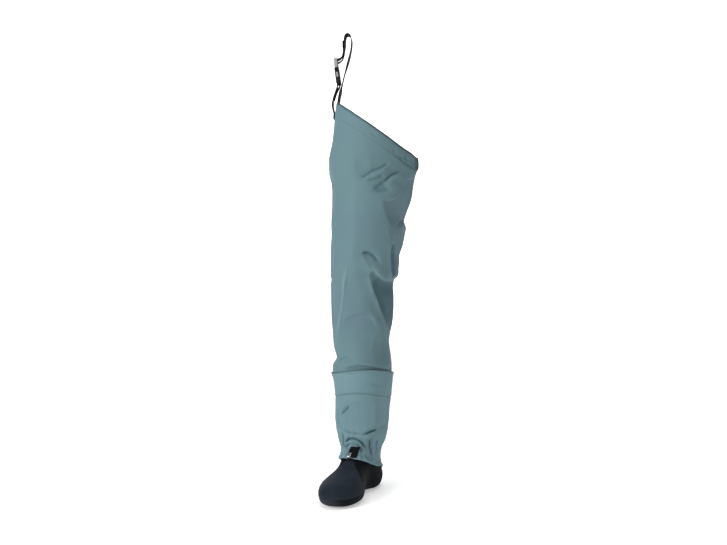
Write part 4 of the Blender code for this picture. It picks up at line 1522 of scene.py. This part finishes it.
class LegShell(ClothTube):
    """The leg with its slanted top hem and the sleeve that goes down inside the guard."""

    EDGE_MIDDLE = 821.0
    LEVEL_TOP = 593.0
    SLEEVE_LOW = 151.0
    SLEEVE_ROWS = 10
    SHOWN_LOW = 256.0
    SHOWN_ROWS = 222
    UNEVEN_FROM = 262.0
    UNEVEN_RISE = 30.0
    RIM_CENTRE = 0.80
    RIM_INSIDE = 0.70
    HEM_BAND = 31.0
    HEM_GROOVE = 0.7
    GROOVE_WIDTH = 2.4
    ROLL = 0.8
    ROLL_WIDTH = 2.5
    EDGE_STITCH = 3.6
    EDGE_BAND = 5.0
    CORNER_SHADE = 0.85
    CORNER_SHADE_SPAN = (62.0, 20.0, 172.0, 84.0)
    SEAM_TONE = 0.5
    SEAM_WIDTH = 2.2
    INNER_MIDDLE = 95.0
    INNER_HALF = 80.0
    FLAT = (0.62, 0.74)
    FLAT_AREA = 0.335
    RUMPLES = (Rumple((62.0, 120.0), 1.5, 0.0), Rumple((20.0, 46.0), 0.45, 31.7))
    RIM_RISE = (
        (-70.0, 0.0), (-40.0, -1.0), (-20.0, 0.0), (-6.0, 1.5), (10.0, 3.5), (22.0, 4.4), (30.0, 3.4),
        (45.0, 0.3), (55.0, -1.5), (70.0, -3.6), (82.0, -3.5), (100.0, -1.5), (130.0, 0.0),
    )
    INNER_EASE = (
        (262.0, 0.0), (285.0, 1.9), (315.0, 1.1), (333.0, 0.0), (351.0, 1.6), (370.0, 3.2), (462.0, 2.5),
        (480.0, 0.2), (499.0, 0.7), (517.0, 2.0), (535.0, 1.1), (554.0, 3.7), (591.0, 2.5), (609.0, 1.6),
        (646.0, 3.0), (675.0, 4.8), (710.0, 3.2), (735.0, 2.7), (755.0, 0.0),
    )
    OUTER_EASE = (
        (290.0, 0.0), (320.0, 1.2), (351.0, 0.9), (388.0, 2.0), (425.0, 2.0), (460.0, 0.9), (560.0, 1.2),
        (700.0, 1.3), (756.0, 2.3), (800.0, 1.2), (840.0, 0.0),
    )

    def __init__(self) -> None:
        """Sets the sleeve's sizes."""
        sleeve = np.linspace(self.SLEEVE_LOW, self.SHOWN_LOW, self.SLEEVE_ROWS, endpoint=False)
        shown = np.linspace(self.SHOWN_LOW, self.EDGE_MIDDLE, self.SHOWN_ROWS + 1)
        super().__init__(
            "leg_cloth", "leg_shell", 192, np.concatenate([sleeve, shown]), 78.0, 1.1, LEG_AXIS, LEG_CREASES,
            LEG_FACETS, self.RUMPLES, self.INNER_EASE, self.OUTER_EASE,
        )

    def find_rim(self, bearing: float) -> float:
        """Height in metres of the slanted top edge at a bearing."""
        rise = float(read_off(bearing, self.RIM_RISE)) * MM
        centre = self.centre(self.RIM_CENTRE)
        return self.form.edge(centre, bearing, self.RIM_INSIDE, self.form.high + MM) + rise

    def height(self, level: float, bearing: float) -> float:
        """Height in metres of a level at a bearing: level below, slanted at the top."""
        slant = float(smoothstep((level - self.LEVEL_TOP) / (self.EDGE_MIDDLE - self.LEVEL_TOP)))
        return level * MM + (self.rim(bearing) - self.EDGE_MIDDLE * MM) * slant

    def extra(self, spots: Spots) -> Array:
        """Hem groove, rolled edge and soft unevenness."""
        below = -self.over_rim(spots)
        groove = -self.HEM_GROOVE * bell(below - self.HEM_BAND, self.GROOVE_WIDTH)
        edge = -self.ROLL * bell(below, self.ROLL_WIDTH)
        shown = smoothstep((spots.height - self.UNEVEN_FROM) / self.UNEVEN_RISE)
        return groove + edge + self.uneven(spots) * shown

    def edge_tone(self, spots: Spots) -> Array:
        """A dark band along the top edge, darker to the inner side as painted shade, with painted shade on
        the hem's inner corner and a dark seam under the hem there.
        """
        below = -self.over_rim(spots)
        bearing = spots.bearing
        side = np.sin(np.radians(bearing))
        # dark band along the top edge, made darker towards the inner side as painted shade
        edge_band = bell(below, self.EDGE_BAND, 4.0) * (0.75 + 0.25 * smoothstep((side + 0.6) / 1.4))
        # painted shade on the hem's inner corner
        corner = self.CORNER_SHADE * between(bearing, *self.CORNER_SHADE_SPAN) * smoothstep((self.HEM_BAND - below) / 2.0)
        seam = self.SEAM_TONE * smoothstep((bearing - 12.0) / 30.0)
        seam = seam * bell(below - self.HEM_BAND, self.SEAM_WIDTH)
        inside = np.abs(bearing - self.INNER_MIDDLE) < self.INNER_HALF
        return np.maximum(edge_band, np.where(inside, np.maximum(corner, seam), 0.0))

    def dress(self) -> None:
        """Builds the leg and its stitched hem."""
        piece = self.build(SHELL)
        rows = [self.line(self.EDGE_MIDDLE - below) for below in (self.HEM_BAND, self.EDGE_STITCH)]
        seams = Stitches("leg_stitches").build(rows)
        hand_over(piece, "shell_fabric", "leg_shell")
        hand_over(seams, "shell_fabric")


class GravelGuard(ClothTube):
    """The outer ankle sleeve, gathered at its hem."""

    TOP = 262.0
    RAISE = 15.0
    RAISE_AT = 12.0
    RAISE_WIDTH = 55.0
    RIM_CENTRE = 0.07
    RIM_INSIDE = 0.12
    SEAM = 0.738
    SEAM_SINK = 0.004
    SEAM_STEP = (0.9, 0.006, 0.05)
    SEAM_GROOVE = (0.8, 0.007)
    TOP_ROLL = (1.2, 0.03)
    TOP_CALM = 0.1
    LINE_WIDTH = 0.006
    TOP_TONE = 0.8
    SEAM_TONE = 0.45
    GATHERS = 23
    GATHER_DEPTH = 2.4
    GATHER_REACH = 42.0
    GATHER_LEAN = 0.012
    GATHER_SHARE = 0.45
    FINE_SHARE = 0.45
    PHASES = ((1.3, 2.0, 0.4), (0.9, 5.0, 1.1))
    REACH_WAVE = (0.45, 3.0, 0.7)
    SIDES = (0.25, 0.9)
    HEM_ROLL = (0.8, 4.5, 3.5)
    HEM_GROOVE = (1.1, 9.0, 1.8)
    HEM_DROP = ((-10.0, 0.0), (12.0, 2.0), (28.0, 4.0), (60.0, 4.0), (82.0, 1.5), (100.0, 0.0))
    HEM_STAND = 0.4
    HEM_REACH = 9.0
    STITCH_LEVELS = (0.975, 0.754, 0.045)
    FLAT = (0.47, 0.215)
    FLAT_AREA = 0.084
    RUMPLES = (Rumple((34.0, 70.0), 0.9, 7.7), Rumple((12.0, 20.0), 0.35, 3.1))
    INNER_EASE = (
        (70.0, 0.0), (94.0, 3.2), (112.0, 5.5), (131.0, 4.4), (149.0, 3.0), (168.0, 2.3), (223.0, 1.5),
        (262.0, 1.8),
    )
    OUTER_EASE = ((70.0, 0.0), (94.0, -2.0), (131.0, -1.8), (168.0, -0.7), (215.0, -1.2), (262.0, 0.0))

    def __init__(self) -> None:
        """Sets the sleeve's sizes."""
        super().__init__(
            "guard_cloth", "gravel_guard", 240, np.linspace(0.0, 1.0, 131), 68.0, 1.0, GUARD_AXIS,
            GUARD_CREASES, GUARD_FACETS, self.RUMPLES, self.INNER_EASE, self.OUTER_EASE,
        )

    def find_rim(self, bearing: float) -> float:
        """Height in metres of the hem at a bearing, let down where it hangs over its elastic."""
        rim = self.form.edge(self.centre(self.RIM_CENTRE), bearing, self.RIM_INSIDE, self.form.low - MM)
        return rim - read_off(bearing, self.HEM_DROP) * MM

    def ease(self, spots: Spots) -> Array:
        """Moves at both sides, and clear of the elastic where the hem hangs over it."""
        near = bell(self.over_rim(spots), self.HEM_REACH)
        return super().ease(spots) + self.HEM_STAND * read_off(spots.bearing, self.HEM_DROP) * near

    def height(self, level: float, bearing: float) -> float:
        """Height in metres of a level, from the hem at 0 to the top seam at 1."""
        off = (bearing - self.RAISE_AT + 180.0) % 360.0 - 180.0
        top = (self.TOP + self.RAISE * bell(off, self.RAISE_WIDTH)) * MM
        low = self.rim(bearing)
        return low + (top - low) * level

    def gathers(self, bearing: Array, over: Array) -> Array:
        """Uneven gathers that stand up from the hem and die away over it.

        Args:
            bearing: Bearings of the points in degrees.
            over: How far they lie over the hem in millimetres.

        Returns:
            Outward moves in millimetres.
        """
        turn = np.radians(bearing)
        phase = sum(size * np.sin(count * turn + start) for size, count, start in self.PHASES)
        size, count, start = self.REACH_WAVE
        reach = self.GATHER_REACH * (1.0 + size * np.sin(count * turn + start))
        wave = np.sin(self.GATHERS * turn + phase + self.GATHER_LEAN * over)
        wave = wave + self.FINE_SHARE * np.sin(2.0 * self.GATHERS * turn - phase)
        sides = self.SIDES[0] - self.SIDES[1] * np.maximum(0.0, np.sin(turn)) ** 2
        return self.GATHER_DEPTH * (self.GATHER_SHARE * wave + sides) * bell(over, reach, 1.6)

    def extra(self, spots: Spots) -> Array:
        """Gathers over the hem, the cross seam, the rolled top edge and soft unevenness."""
        over = np.maximum(0.0, self.over_rim(spots))
        level = np.broadcast_to(self.levels[:, None], spots.bearing.shape)
        past = level - self.SEAM
        bumps = (self.HEM_ROLL, self.HEM_GROOVE)
        rolled, grooved = (size * bell(over - at, width) for size, at, width in bumps)
        size, rise, fall = self.SEAM_STEP
        seam = size * smoothstep(past / rise) * np.exp(-np.maximum(0.0, past) / fall)
        seam = seam - self.SEAM_GROOVE[0] * bell(past + self.SEAM_SINK, self.SEAM_GROOVE[1])
        roll = self.TOP_ROLL[0] * bell(1.0 - level, self.TOP_ROLL[1])
        uneven = self.uneven(spots) * smoothstep((1.0 - level) / self.TOP_CALM)
        return self.gathers(spots.bearing, over) + rolled - grooved + seam + roll + uneven

    def edge_tone(self, spots: Spots) -> Array:
        """A thin dark line at the top edge and the cross seam."""
        level = np.broadcast_to(self.levels[:, None], spots.bearing.shape)
        top = self.TOP_TONE * bell(1.0 - level, self.LINE_WIDTH)
        seam = self.SEAM_TONE * bell(level - self.SEAM + self.SEAM_SINK, self.LINE_WIDTH)
        return np.maximum(top, seam)

    def dress(self) -> None:
        """Builds the guard and its stitches."""
        piece = self.build(GUARD)
        rows = [self.line(level) for level in self.STITCH_LEVELS]
        seams = Stitches("guard_stitches", 2.2, 0.45, 3.0).build(rows)
        hand_over(piece, "guard_fabric", "gravel_guard")
        hand_over(seams, "guard_fabric")


@dataclass
class Sock:
    """The neoprene sock: upper and sole with their seams."""

    turn_out: float = 17.0
    shift: float = 3.0
    vamp_seam: Pairs = (
        (78.0, 96.0), (94.0, 75.0), (115.0, 62.0), (131.0, 52.0), (134.0, 41.0), (128.0, 30.0), (118.0, 16.0),
    )
    seam_steps: int = 12
    rim_angle: float = 50.0
    full_inner: float = 4.5
    full_outer: float = 2.2
    half_width: float = 48.0
    full_from: float = 84.0
    full_below: float = 82.0
    full_rise: float = 50.0
    sole_front: float = 116.0
    off_seam: float = 9.0

    def fill_out(self, piece: Piece) -> None:
        """Widens the soft forefoot a little, as over a foot's ball and toes."""
        points = points_of(piece)
        forward, across, height = self.foot_places(points)
        wide = np.where(across > 0.0, self.full_inner, self.full_outer) * across / self.half_width
        wide = wide * smoothstep((forward - self.full_from) / self.full_rise)
        wide = wide * smoothstep((self.full_below - height) / self.full_rise)
        turn = math.radians(self.turn_out)
        points[:, 0] += wide * math.cos(turn) * MM
        points[:, 1] -= wide * math.sin(turn) * MM
        set_points(piece, points)

    def foot_places(self, points: Array) -> tuple[Array, Array, Array]:
        """Places of points in the foot's own axes, in millimetres.

        Args:
            points: Rows of x, y, z in metres.

        Returns:
            Distance to the front of the ankle, to the inner side, and height.
        """
        turn = math.radians(self.turn_out)
        x = points[:, 0] / MM - self.shift
        y = points[:, 1] / MM
        across = x * math.cos(turn) - y * math.sin(turn)
        back = x * math.sin(turn) + y * math.cos(turn)
        return -back, across, points[:, 2] / MM

    def soft_copy(self, node: str, name: str, levels: int) -> Piece:
        """A smooth copy of a solid of the sock, filled out at the forefoot.

        Args:
            node: The solid.
            name: The piece's name.
            levels: How often it is subdivided.

        Returns:
            The piece.
        """
        piece = copy_of(node, name)
        keep_rims(piece, self.rim_angle)
        subdivide(piece, levels)
        self.fill_out(piece)
        smooth(piece)
        chart_box(piece)
        dress(piece, SOCK.material())
        return piece

    def upper(self) -> None:
        """The upper, smooth over the vamp, with the seam and the darker quarter behind it stored on its
        points; the quarter's darkness is partly painted shade on the heel and inner side.
        """
        piece = self.soft_copy("bootie_upper", "sock_upper", 3)
        forward, _, height = self.foot_places(points_of(piece))
        track = curve_through(np.array(self.vamp_seam), self.seam_steps)
        gap, side, _ = nearest(track, forward, height)
        seam = np.where(side < 0.0, gap, -gap)
        store(piece, "seam", seam)
        store(piece, "panel_and_shade", 1.0 - smoothstep((seam + 1.0) / 2.0))
        hand_over(piece, "sock_neoprene", "bootie_upper")

    def sole(self) -> None:
        """The sole, cupped up to its seam."""
        piece = self.soft_copy("bootie_sole", "sock_sole", 2)
        forward, across, _ = self.foot_places(points_of(piece))
        # painted shade: the sole darker towards the inner side and behind its front
        inner = 0.85 * smoothstep((across - 10.0) / 24.0)
        store(piece, "seam", np.full(len(forward), self.off_seam))
        store(piece, "panel_and_shade", np.maximum(1.0 - smoothstep((forward - self.sole_front) / 4.0), inner))
        hand_over(piece, "sole_neoprene", "bootie_sole")

    def dress(self) -> None:
        """Builds the sock."""
        self.upper()
        self.sole()


@dataclass
class HemElastic:
    """The dark elastic that shows under the guard's hem."""

    ripples: int = 46
    depth: float = 0.35

    def dress(self) -> None:
        """Subdivides the band and ripples it."""
        piece = copy_of("hem_elastic", "hem_band")
        subdivide(piece, 3)
        points = points_of(piece)
        turn = np.arctan2(points[:, 0], -points[:, 1])
        out = np.stack([np.sin(turn), -np.cos(turn), np.zeros_like(turn)], axis=1)
        set_points(piece, points + out * (self.depth * MM * np.sin(self.ripples * turn))[:, None])
        smooth(piece)
        chart_box(piece)
        dress(piece, ELASTIC.material())
        hand_over(piece, "elastic", "hem_elastic")


@dataclass
class LaceHook:
    """The webbing tab on the guard's front and its metal hook."""

    tab_edge: float = 0.5
    hook_edge: float = 0.45
    angle: float = 50.0

    def dress(self) -> None:
        """Rounds the tab and the hook."""
        tab = copy_of("hook_tab", "tab_strap")
        round_edges(tab, self.tab_edge, 2, self.angle)
        subdivide(tab, 1)
        smooth(tab, 60.0)
        chart_box(tab)
        dress(tab, WEBBING.material())
        hand_over(tab, "tab_webbing", "hook_tab")
        hook = copy_of("lace_hook", "lace_hook_wire")
        round_edges(hook, self.hook_edge, 3, self.angle)
        subdivide(hook, 2)
        smooth(hook, 60.0)
        dress(hook, HOOK_STEEL.material())
        hand_over(hook, "hook_metal", "lace_hook")


@dataclass
class Straps:
    """The belt loop with its tail and the short anchor strap."""

    width: float = 25.0
    thick: float = 1.8
    bar_radius: float = 2.2
    gap: float = 0.3
    buckle_turn: float = -7.5
    buckle_foot: tuple[float, float] = (-52.5, 927.0)
    female_bar: float = 4.0
    male_bar: float = 52.0
    steps: int = 8
    bar_steps: int = 24
    belt_route: Pairs = (
        (-59.1, 835.0), (-57.4, 851.0), (-55.3, 867.0), (-53.2, 883.0), (-51.0, 898.0), (-46.6, 917.0),
        (-39.4, 948.0), (-31.6, 975.0), (-25.6, 998.0), (-22.8, 1017.0), (-22.9, 1029.0), (-26.2, 1038.2),
        (-31.8, 1041.0), (-36.2, 1038.4), (-38.4, 1031.0), (-39.0, 1021.0), (-39.3, 1007.0), (-40.9, 994.0),
        (-44.5, 983.5), (-51.0, 977.3),
    )
    belt_tail: Pairs = (
        (-50.5, 985.4), (-45.6, 989.6), (-43.2, 997.5), (-42.1, 1007.0), (-41.7, 1017.0), (-41.5, 1026.0),
    )
    anchor_out: Pairs = (
        (-63.7, 846.0), (-63.0, 852.0), (-62.6, 857.0), (-63.6, 863.0), (-65.6, 870.0), (-66.6, 879.0),
        (-65.8, 889.0), (-63.4, 900.0), (-59.4, 912.0), (-56.0, 921.0),
    )
    anchor_back: Pairs = ((-51.2, 920.0), (-56.4, 910.4), (-60.8, 898.0), (-62.8, 890.0))
    belt_twist: Pairs = (
        (0.0, 0.0), (0.10, 3.0), (0.15, 7.0), (0.21, 7.0), (0.25, -3.5), (0.34, -4.0), (0.385, 2.5),
        (0.44, 2.5), (0.48, 0.5), (0.55, 1.5), (0.585, -2.0), (0.60, -5.0), (0.635, -6.0), (0.68, -6.0),
        (0.715, 2.0), (0.745, 3.0), (0.785, 9.0), (0.81, 6.0), (0.835, 0.0), (0.87, 0.0), (0.89, -6.0),
        (0.92, -4.0), (0.945, -2.0), (0.962, 5.0), (1.0, 6.0),
    )
    anchor_twist: Pairs = (
        (0.0, 2.0), (0.08, 4.0), (0.22, 4.0), (0.28, 2.0), (0.33, -1.0), (0.40, -4.0), (0.55, -3.0),
        (0.61, 0.0), (0.70, 0.0), (0.77, 3.0), (0.85, 4.0), (1.0, 3.0),
    )

    def round_bar(self, along: float, start: float, stop: float) -> Array:
        """Places of webbing that wraps a bar of the buckle.

        Args:
            along: Place of the bar along the buckle.
            start: First direction in degrees.
            stop: Last direction in degrees.

        Returns:
            Rows of x and z.
        """
        reach = self.bar_radius + self.gap + self.thick / 2.0
        turn = np.radians(np.linspace(start, stop, self.bar_steps + 1))
        across, run = reach * np.cos(turn), along + reach * np.sin(turn)
        lean = math.radians(-self.buckle_turn)
        x = self.buckle_foot[0] + across * math.cos(lean) - run * math.sin(lean)
        return np.stack([x, self.buckle_foot[1] + across * math.sin(lean) + run * math.cos(lean)], axis=1)

    def route(self, out: Pairs, bar: Array, back: Pairs) -> Array:
        """Joins the run to a bar, the turn round it and the run back, as rows of x and z."""
        ends = [curve_through(np.array(run), self.steps) for run in (out, back)]
        return np.vstack([ends[0], bar, ends[1]])

    def section(self) -> Array:
        """Ring of places across the strap, with rounded selvedges.

        Returns:
            Rows of width and height in millimetres, the last on the first.
        """
        rise = self.thick / 2.0
        inner = self.width / 2.0 - rise
        flat = [(w, -rise) for w in np.linspace(-inner, inner, 9)]
        turns = np.radians(np.linspace(-60.0, 60.0, 5))
        bend = [(inner + rise * math.cos(t), rise * math.sin(t)) for t in turns]
        ring = flat + bend + [(-w, rise) for w, _ in flat] + [(-w, -h) for w, h in bend]
        return np.array(ring + ring[:1])

    def close(self, piece: Piece) -> None:
        """Joins the long seam of a strap and fills both its ends."""
        edit(piece, ("remove_doubles", {"threshold": 0.01 * MM}))
        with editing(piece):
            bpy.ops.mesh.select_all(action="DESELECT")
            bpy.ops.mesh.select_mode(type="EDGE")
            bpy.ops.mesh.select_non_manifold(extend=False)
            bpy.ops.mesh.edge_face_add()
            bpy.ops.mesh.select_all(action="SELECT")
            bpy.ops.mesh.normals_make_consistent(inside=False)

    def sweep(self, name: str, route: Array, twist: Pairs) -> Piece:
        """A strap along a route in the x, z plane.

        Args:
            name: The piece's name.
            route: Rows of x and z in millimetres.
            twist: Shares of the run, with the strap's turn about its run in degrees.

        Returns:
            The strap.
        """
        width, height = self.section().T[:, None, :]
        ahead = np.gradient(route, axis=0)
        ahead = ahead / np.linalg.norm(ahead, axis=1, keepdims=True)
        run = run_of(route)
        turn = np.radians(read_off(run / run[-1], twist))[:, None]
        y = width * np.cos(turn) - height * np.sin(turn)
        out = width * np.sin(turn) + height * np.cos(turn)
        x = route[:, None, 0] + ahead[:, None, 1] * out
        z = route[:, None, 1] - ahead[:, None, 0] * out
        chart = np.stack(np.broadcast_arrays(width, run[:, None]), axis=2) * MM
        lattice = Lattice(name, width.shape[1] - 1, len(route) - 1)
        piece = lattice.lay(np.stack([x, y, z], axis=2) * MM, chart)
        self.close(piece)
        smooth(piece, 50.0)
        dress(piece, WEBBING.material())
        return piece

    def dress(self) -> None:
        """Builds both straps."""
        belt = self.route(self.belt_route, self.round_bar(self.male_bar, -70.0, -290.0), self.belt_tail)
        anchor = self.route(self.anchor_out, self.round_bar(self.female_bar, 200.0, -20.0), self.anchor_back)
        strap = self.sweep("belt_webbing_strap", belt, self.belt_twist)
        hand_over(strap, "belt_webbing", "belt_strap")
        strap = self.sweep("anchor_webbing_strap", anchor, self.anchor_twist)
        hand_over(strap, "anchor_webbing", "anchor_strap")


@dataclass
class Buckle:
    """The fastened side release buckle."""

    edge: float = 0.5
    angle: float = 40.0
    flat_angle: float = 2.0

    def half(self, node: str, name: str, finish: PlasticFinish, slot: str) -> None:
        """Rounds the edges of one half.

        Args:
            node: The solid.
            name: The piece's name.
            finish: Its plastic.
            slot: The record's material slot.
        """
        piece = copy_of(node, name)
        edit(piece, ("dissolve_limited", {"angle_limit": math.radians(self.flat_angle)}))
        round_edges(piece, self.edge, 3, self.angle)
        smooth(piece, 35.0)
        dress(piece, finish.material())
        hand_over(piece, slot, node)

    def dress(self) -> None:
        """Builds both halves."""
        self.half("buckle_male", "clip_upper_half", GREY_PLASTIC, "male_plastic")
        self.half("buckle_female", "clip_lower_half", BLACK_PLASTIC, "female_plastic")


@dataclass
class Studio:
    """Floor, wall, lights and camera."""

    eye: Place = (0.139, -2.1, 0.493)
    focal_px: float = 913.0
    picture_px: float = 727.0
    sensor: float = 36.0
    yaw: float = 3.67
    view_end: float = 60.0
    floor_size: float = 24.0
    wall_back: float = 5.0
    wall_size: float = 6.8
    sky: float = 0.28

    def camera(self) -> None:
        """A level camera at the photograph's angle."""
        deselect()
        turn = (math.radians(90.0), 0.0, math.radians(self.yaw))
        bpy.ops.object.camera_add(location=self.eye, rotation=turn)
        camera = bpy.context.object
        camera.name = "view_camera"
        camera.data.sensor_width = self.sensor
        camera.data.lens = self.focal_px / self.picture_px * self.sensor
        camera.data.clip_end = self.view_end
        camera.data.dof.use_dof = False
        bpy.context.scene.camera = camera

    def plane(self, name: str, size: float, place: Place, tilt_deg: float, finish: StudioFinish) -> None:
        """A square of the studio.

        Args:
            name: Its name.
            size: Its side in metres.
            place: Its middle.
            tilt_deg: Its turn about the x axis.
            finish: Its paint.
        """
        deselect()
        bpy.ops.mesh.primitive_grid_add(x_subdivisions=8, y_subdivisions=8, size=size, location=place)
        plane = bpy.context.object
        plane.name = name
        activate(plane)
        bpy.ops.transform.rotate(value=math.radians(tilt_deg), orient_axis="X", center_override=place)
        bpy.ops.object.transform_apply(location=True, rotation=True, scale=True)
        dress(plane, finish.material())

    def lamp(self, name: str, place: Place, aim: Place, size: float, power: float) -> None:
        """A soft square light.

        Args:
            name: The light's name.
            place: Where it stands.
            aim: Where it points.
            size: Its side in metres.
            power: Its power in watts.
        """
        deselect()
        turn = (Vector(aim) - Vector(place)).to_track_quat("-Z", "Y").to_euler()
        bpy.ops.object.light_add(type="AREA", location=place, rotation=turn)
        light = bpy.context.object
        light.name = name
        light.data.shape = "SQUARE"
        light.data.size = size
        light.data.energy = power

    def dress(self) -> None:
        """Builds the studio."""
        self.camera()
        self.plane("studio_floor", self.floor_size, (0.0, 0.0, 0.0), 0.0, WHITE_FLOOR)
        self.plane("studio_wall", self.wall_size, (0.0, self.wall_back, 0.0), 90.0, WHITE_WALL)
        self.lamp("key_light", (-2.3, -2.4, 1.8), (0.0, 0.0, 0.45), 1.2, 89.0)
        self.lamp("fill_light", (2.6, -1.7, 1.4), (0.0, 0.0, 0.5), 1.6, 9.0)
        self.lamp("top_light", (0.0, 0.2, 3.4), (0.0, 0.2, 0.0), 2.2, 62.0)
        world = bpy.data.worlds.new("studio_world")
        world.use_nodes = True
        ground = next(n for n in world.node_tree.nodes if n.type == "BACKGROUND")
        ground.inputs["Color"].default_value = (1.0, 1.0, 1.0, 1.0)
        ground.inputs["Strength"].default_value = self.sky
        bpy.context.scene.world = world
        bpy.context.scene.view_settings.view_transform = "Standard"


def main() -> None:
    """Builds the studio and every piece of the wader, in order."""
    logging.basicConfig(level=logging.INFO, format="%(name)s: %(message)s")
    for part in (Studio(), LegShell(), GravelGuard(), HemElastic(), LaceHook(), Sock(), Straps(), Buckle()):
        part.dress()
        LOG.info("%s is done", type(part).__name__)
    bpy.context.view_layer.update()


if __name__ == "__main__":
    main()
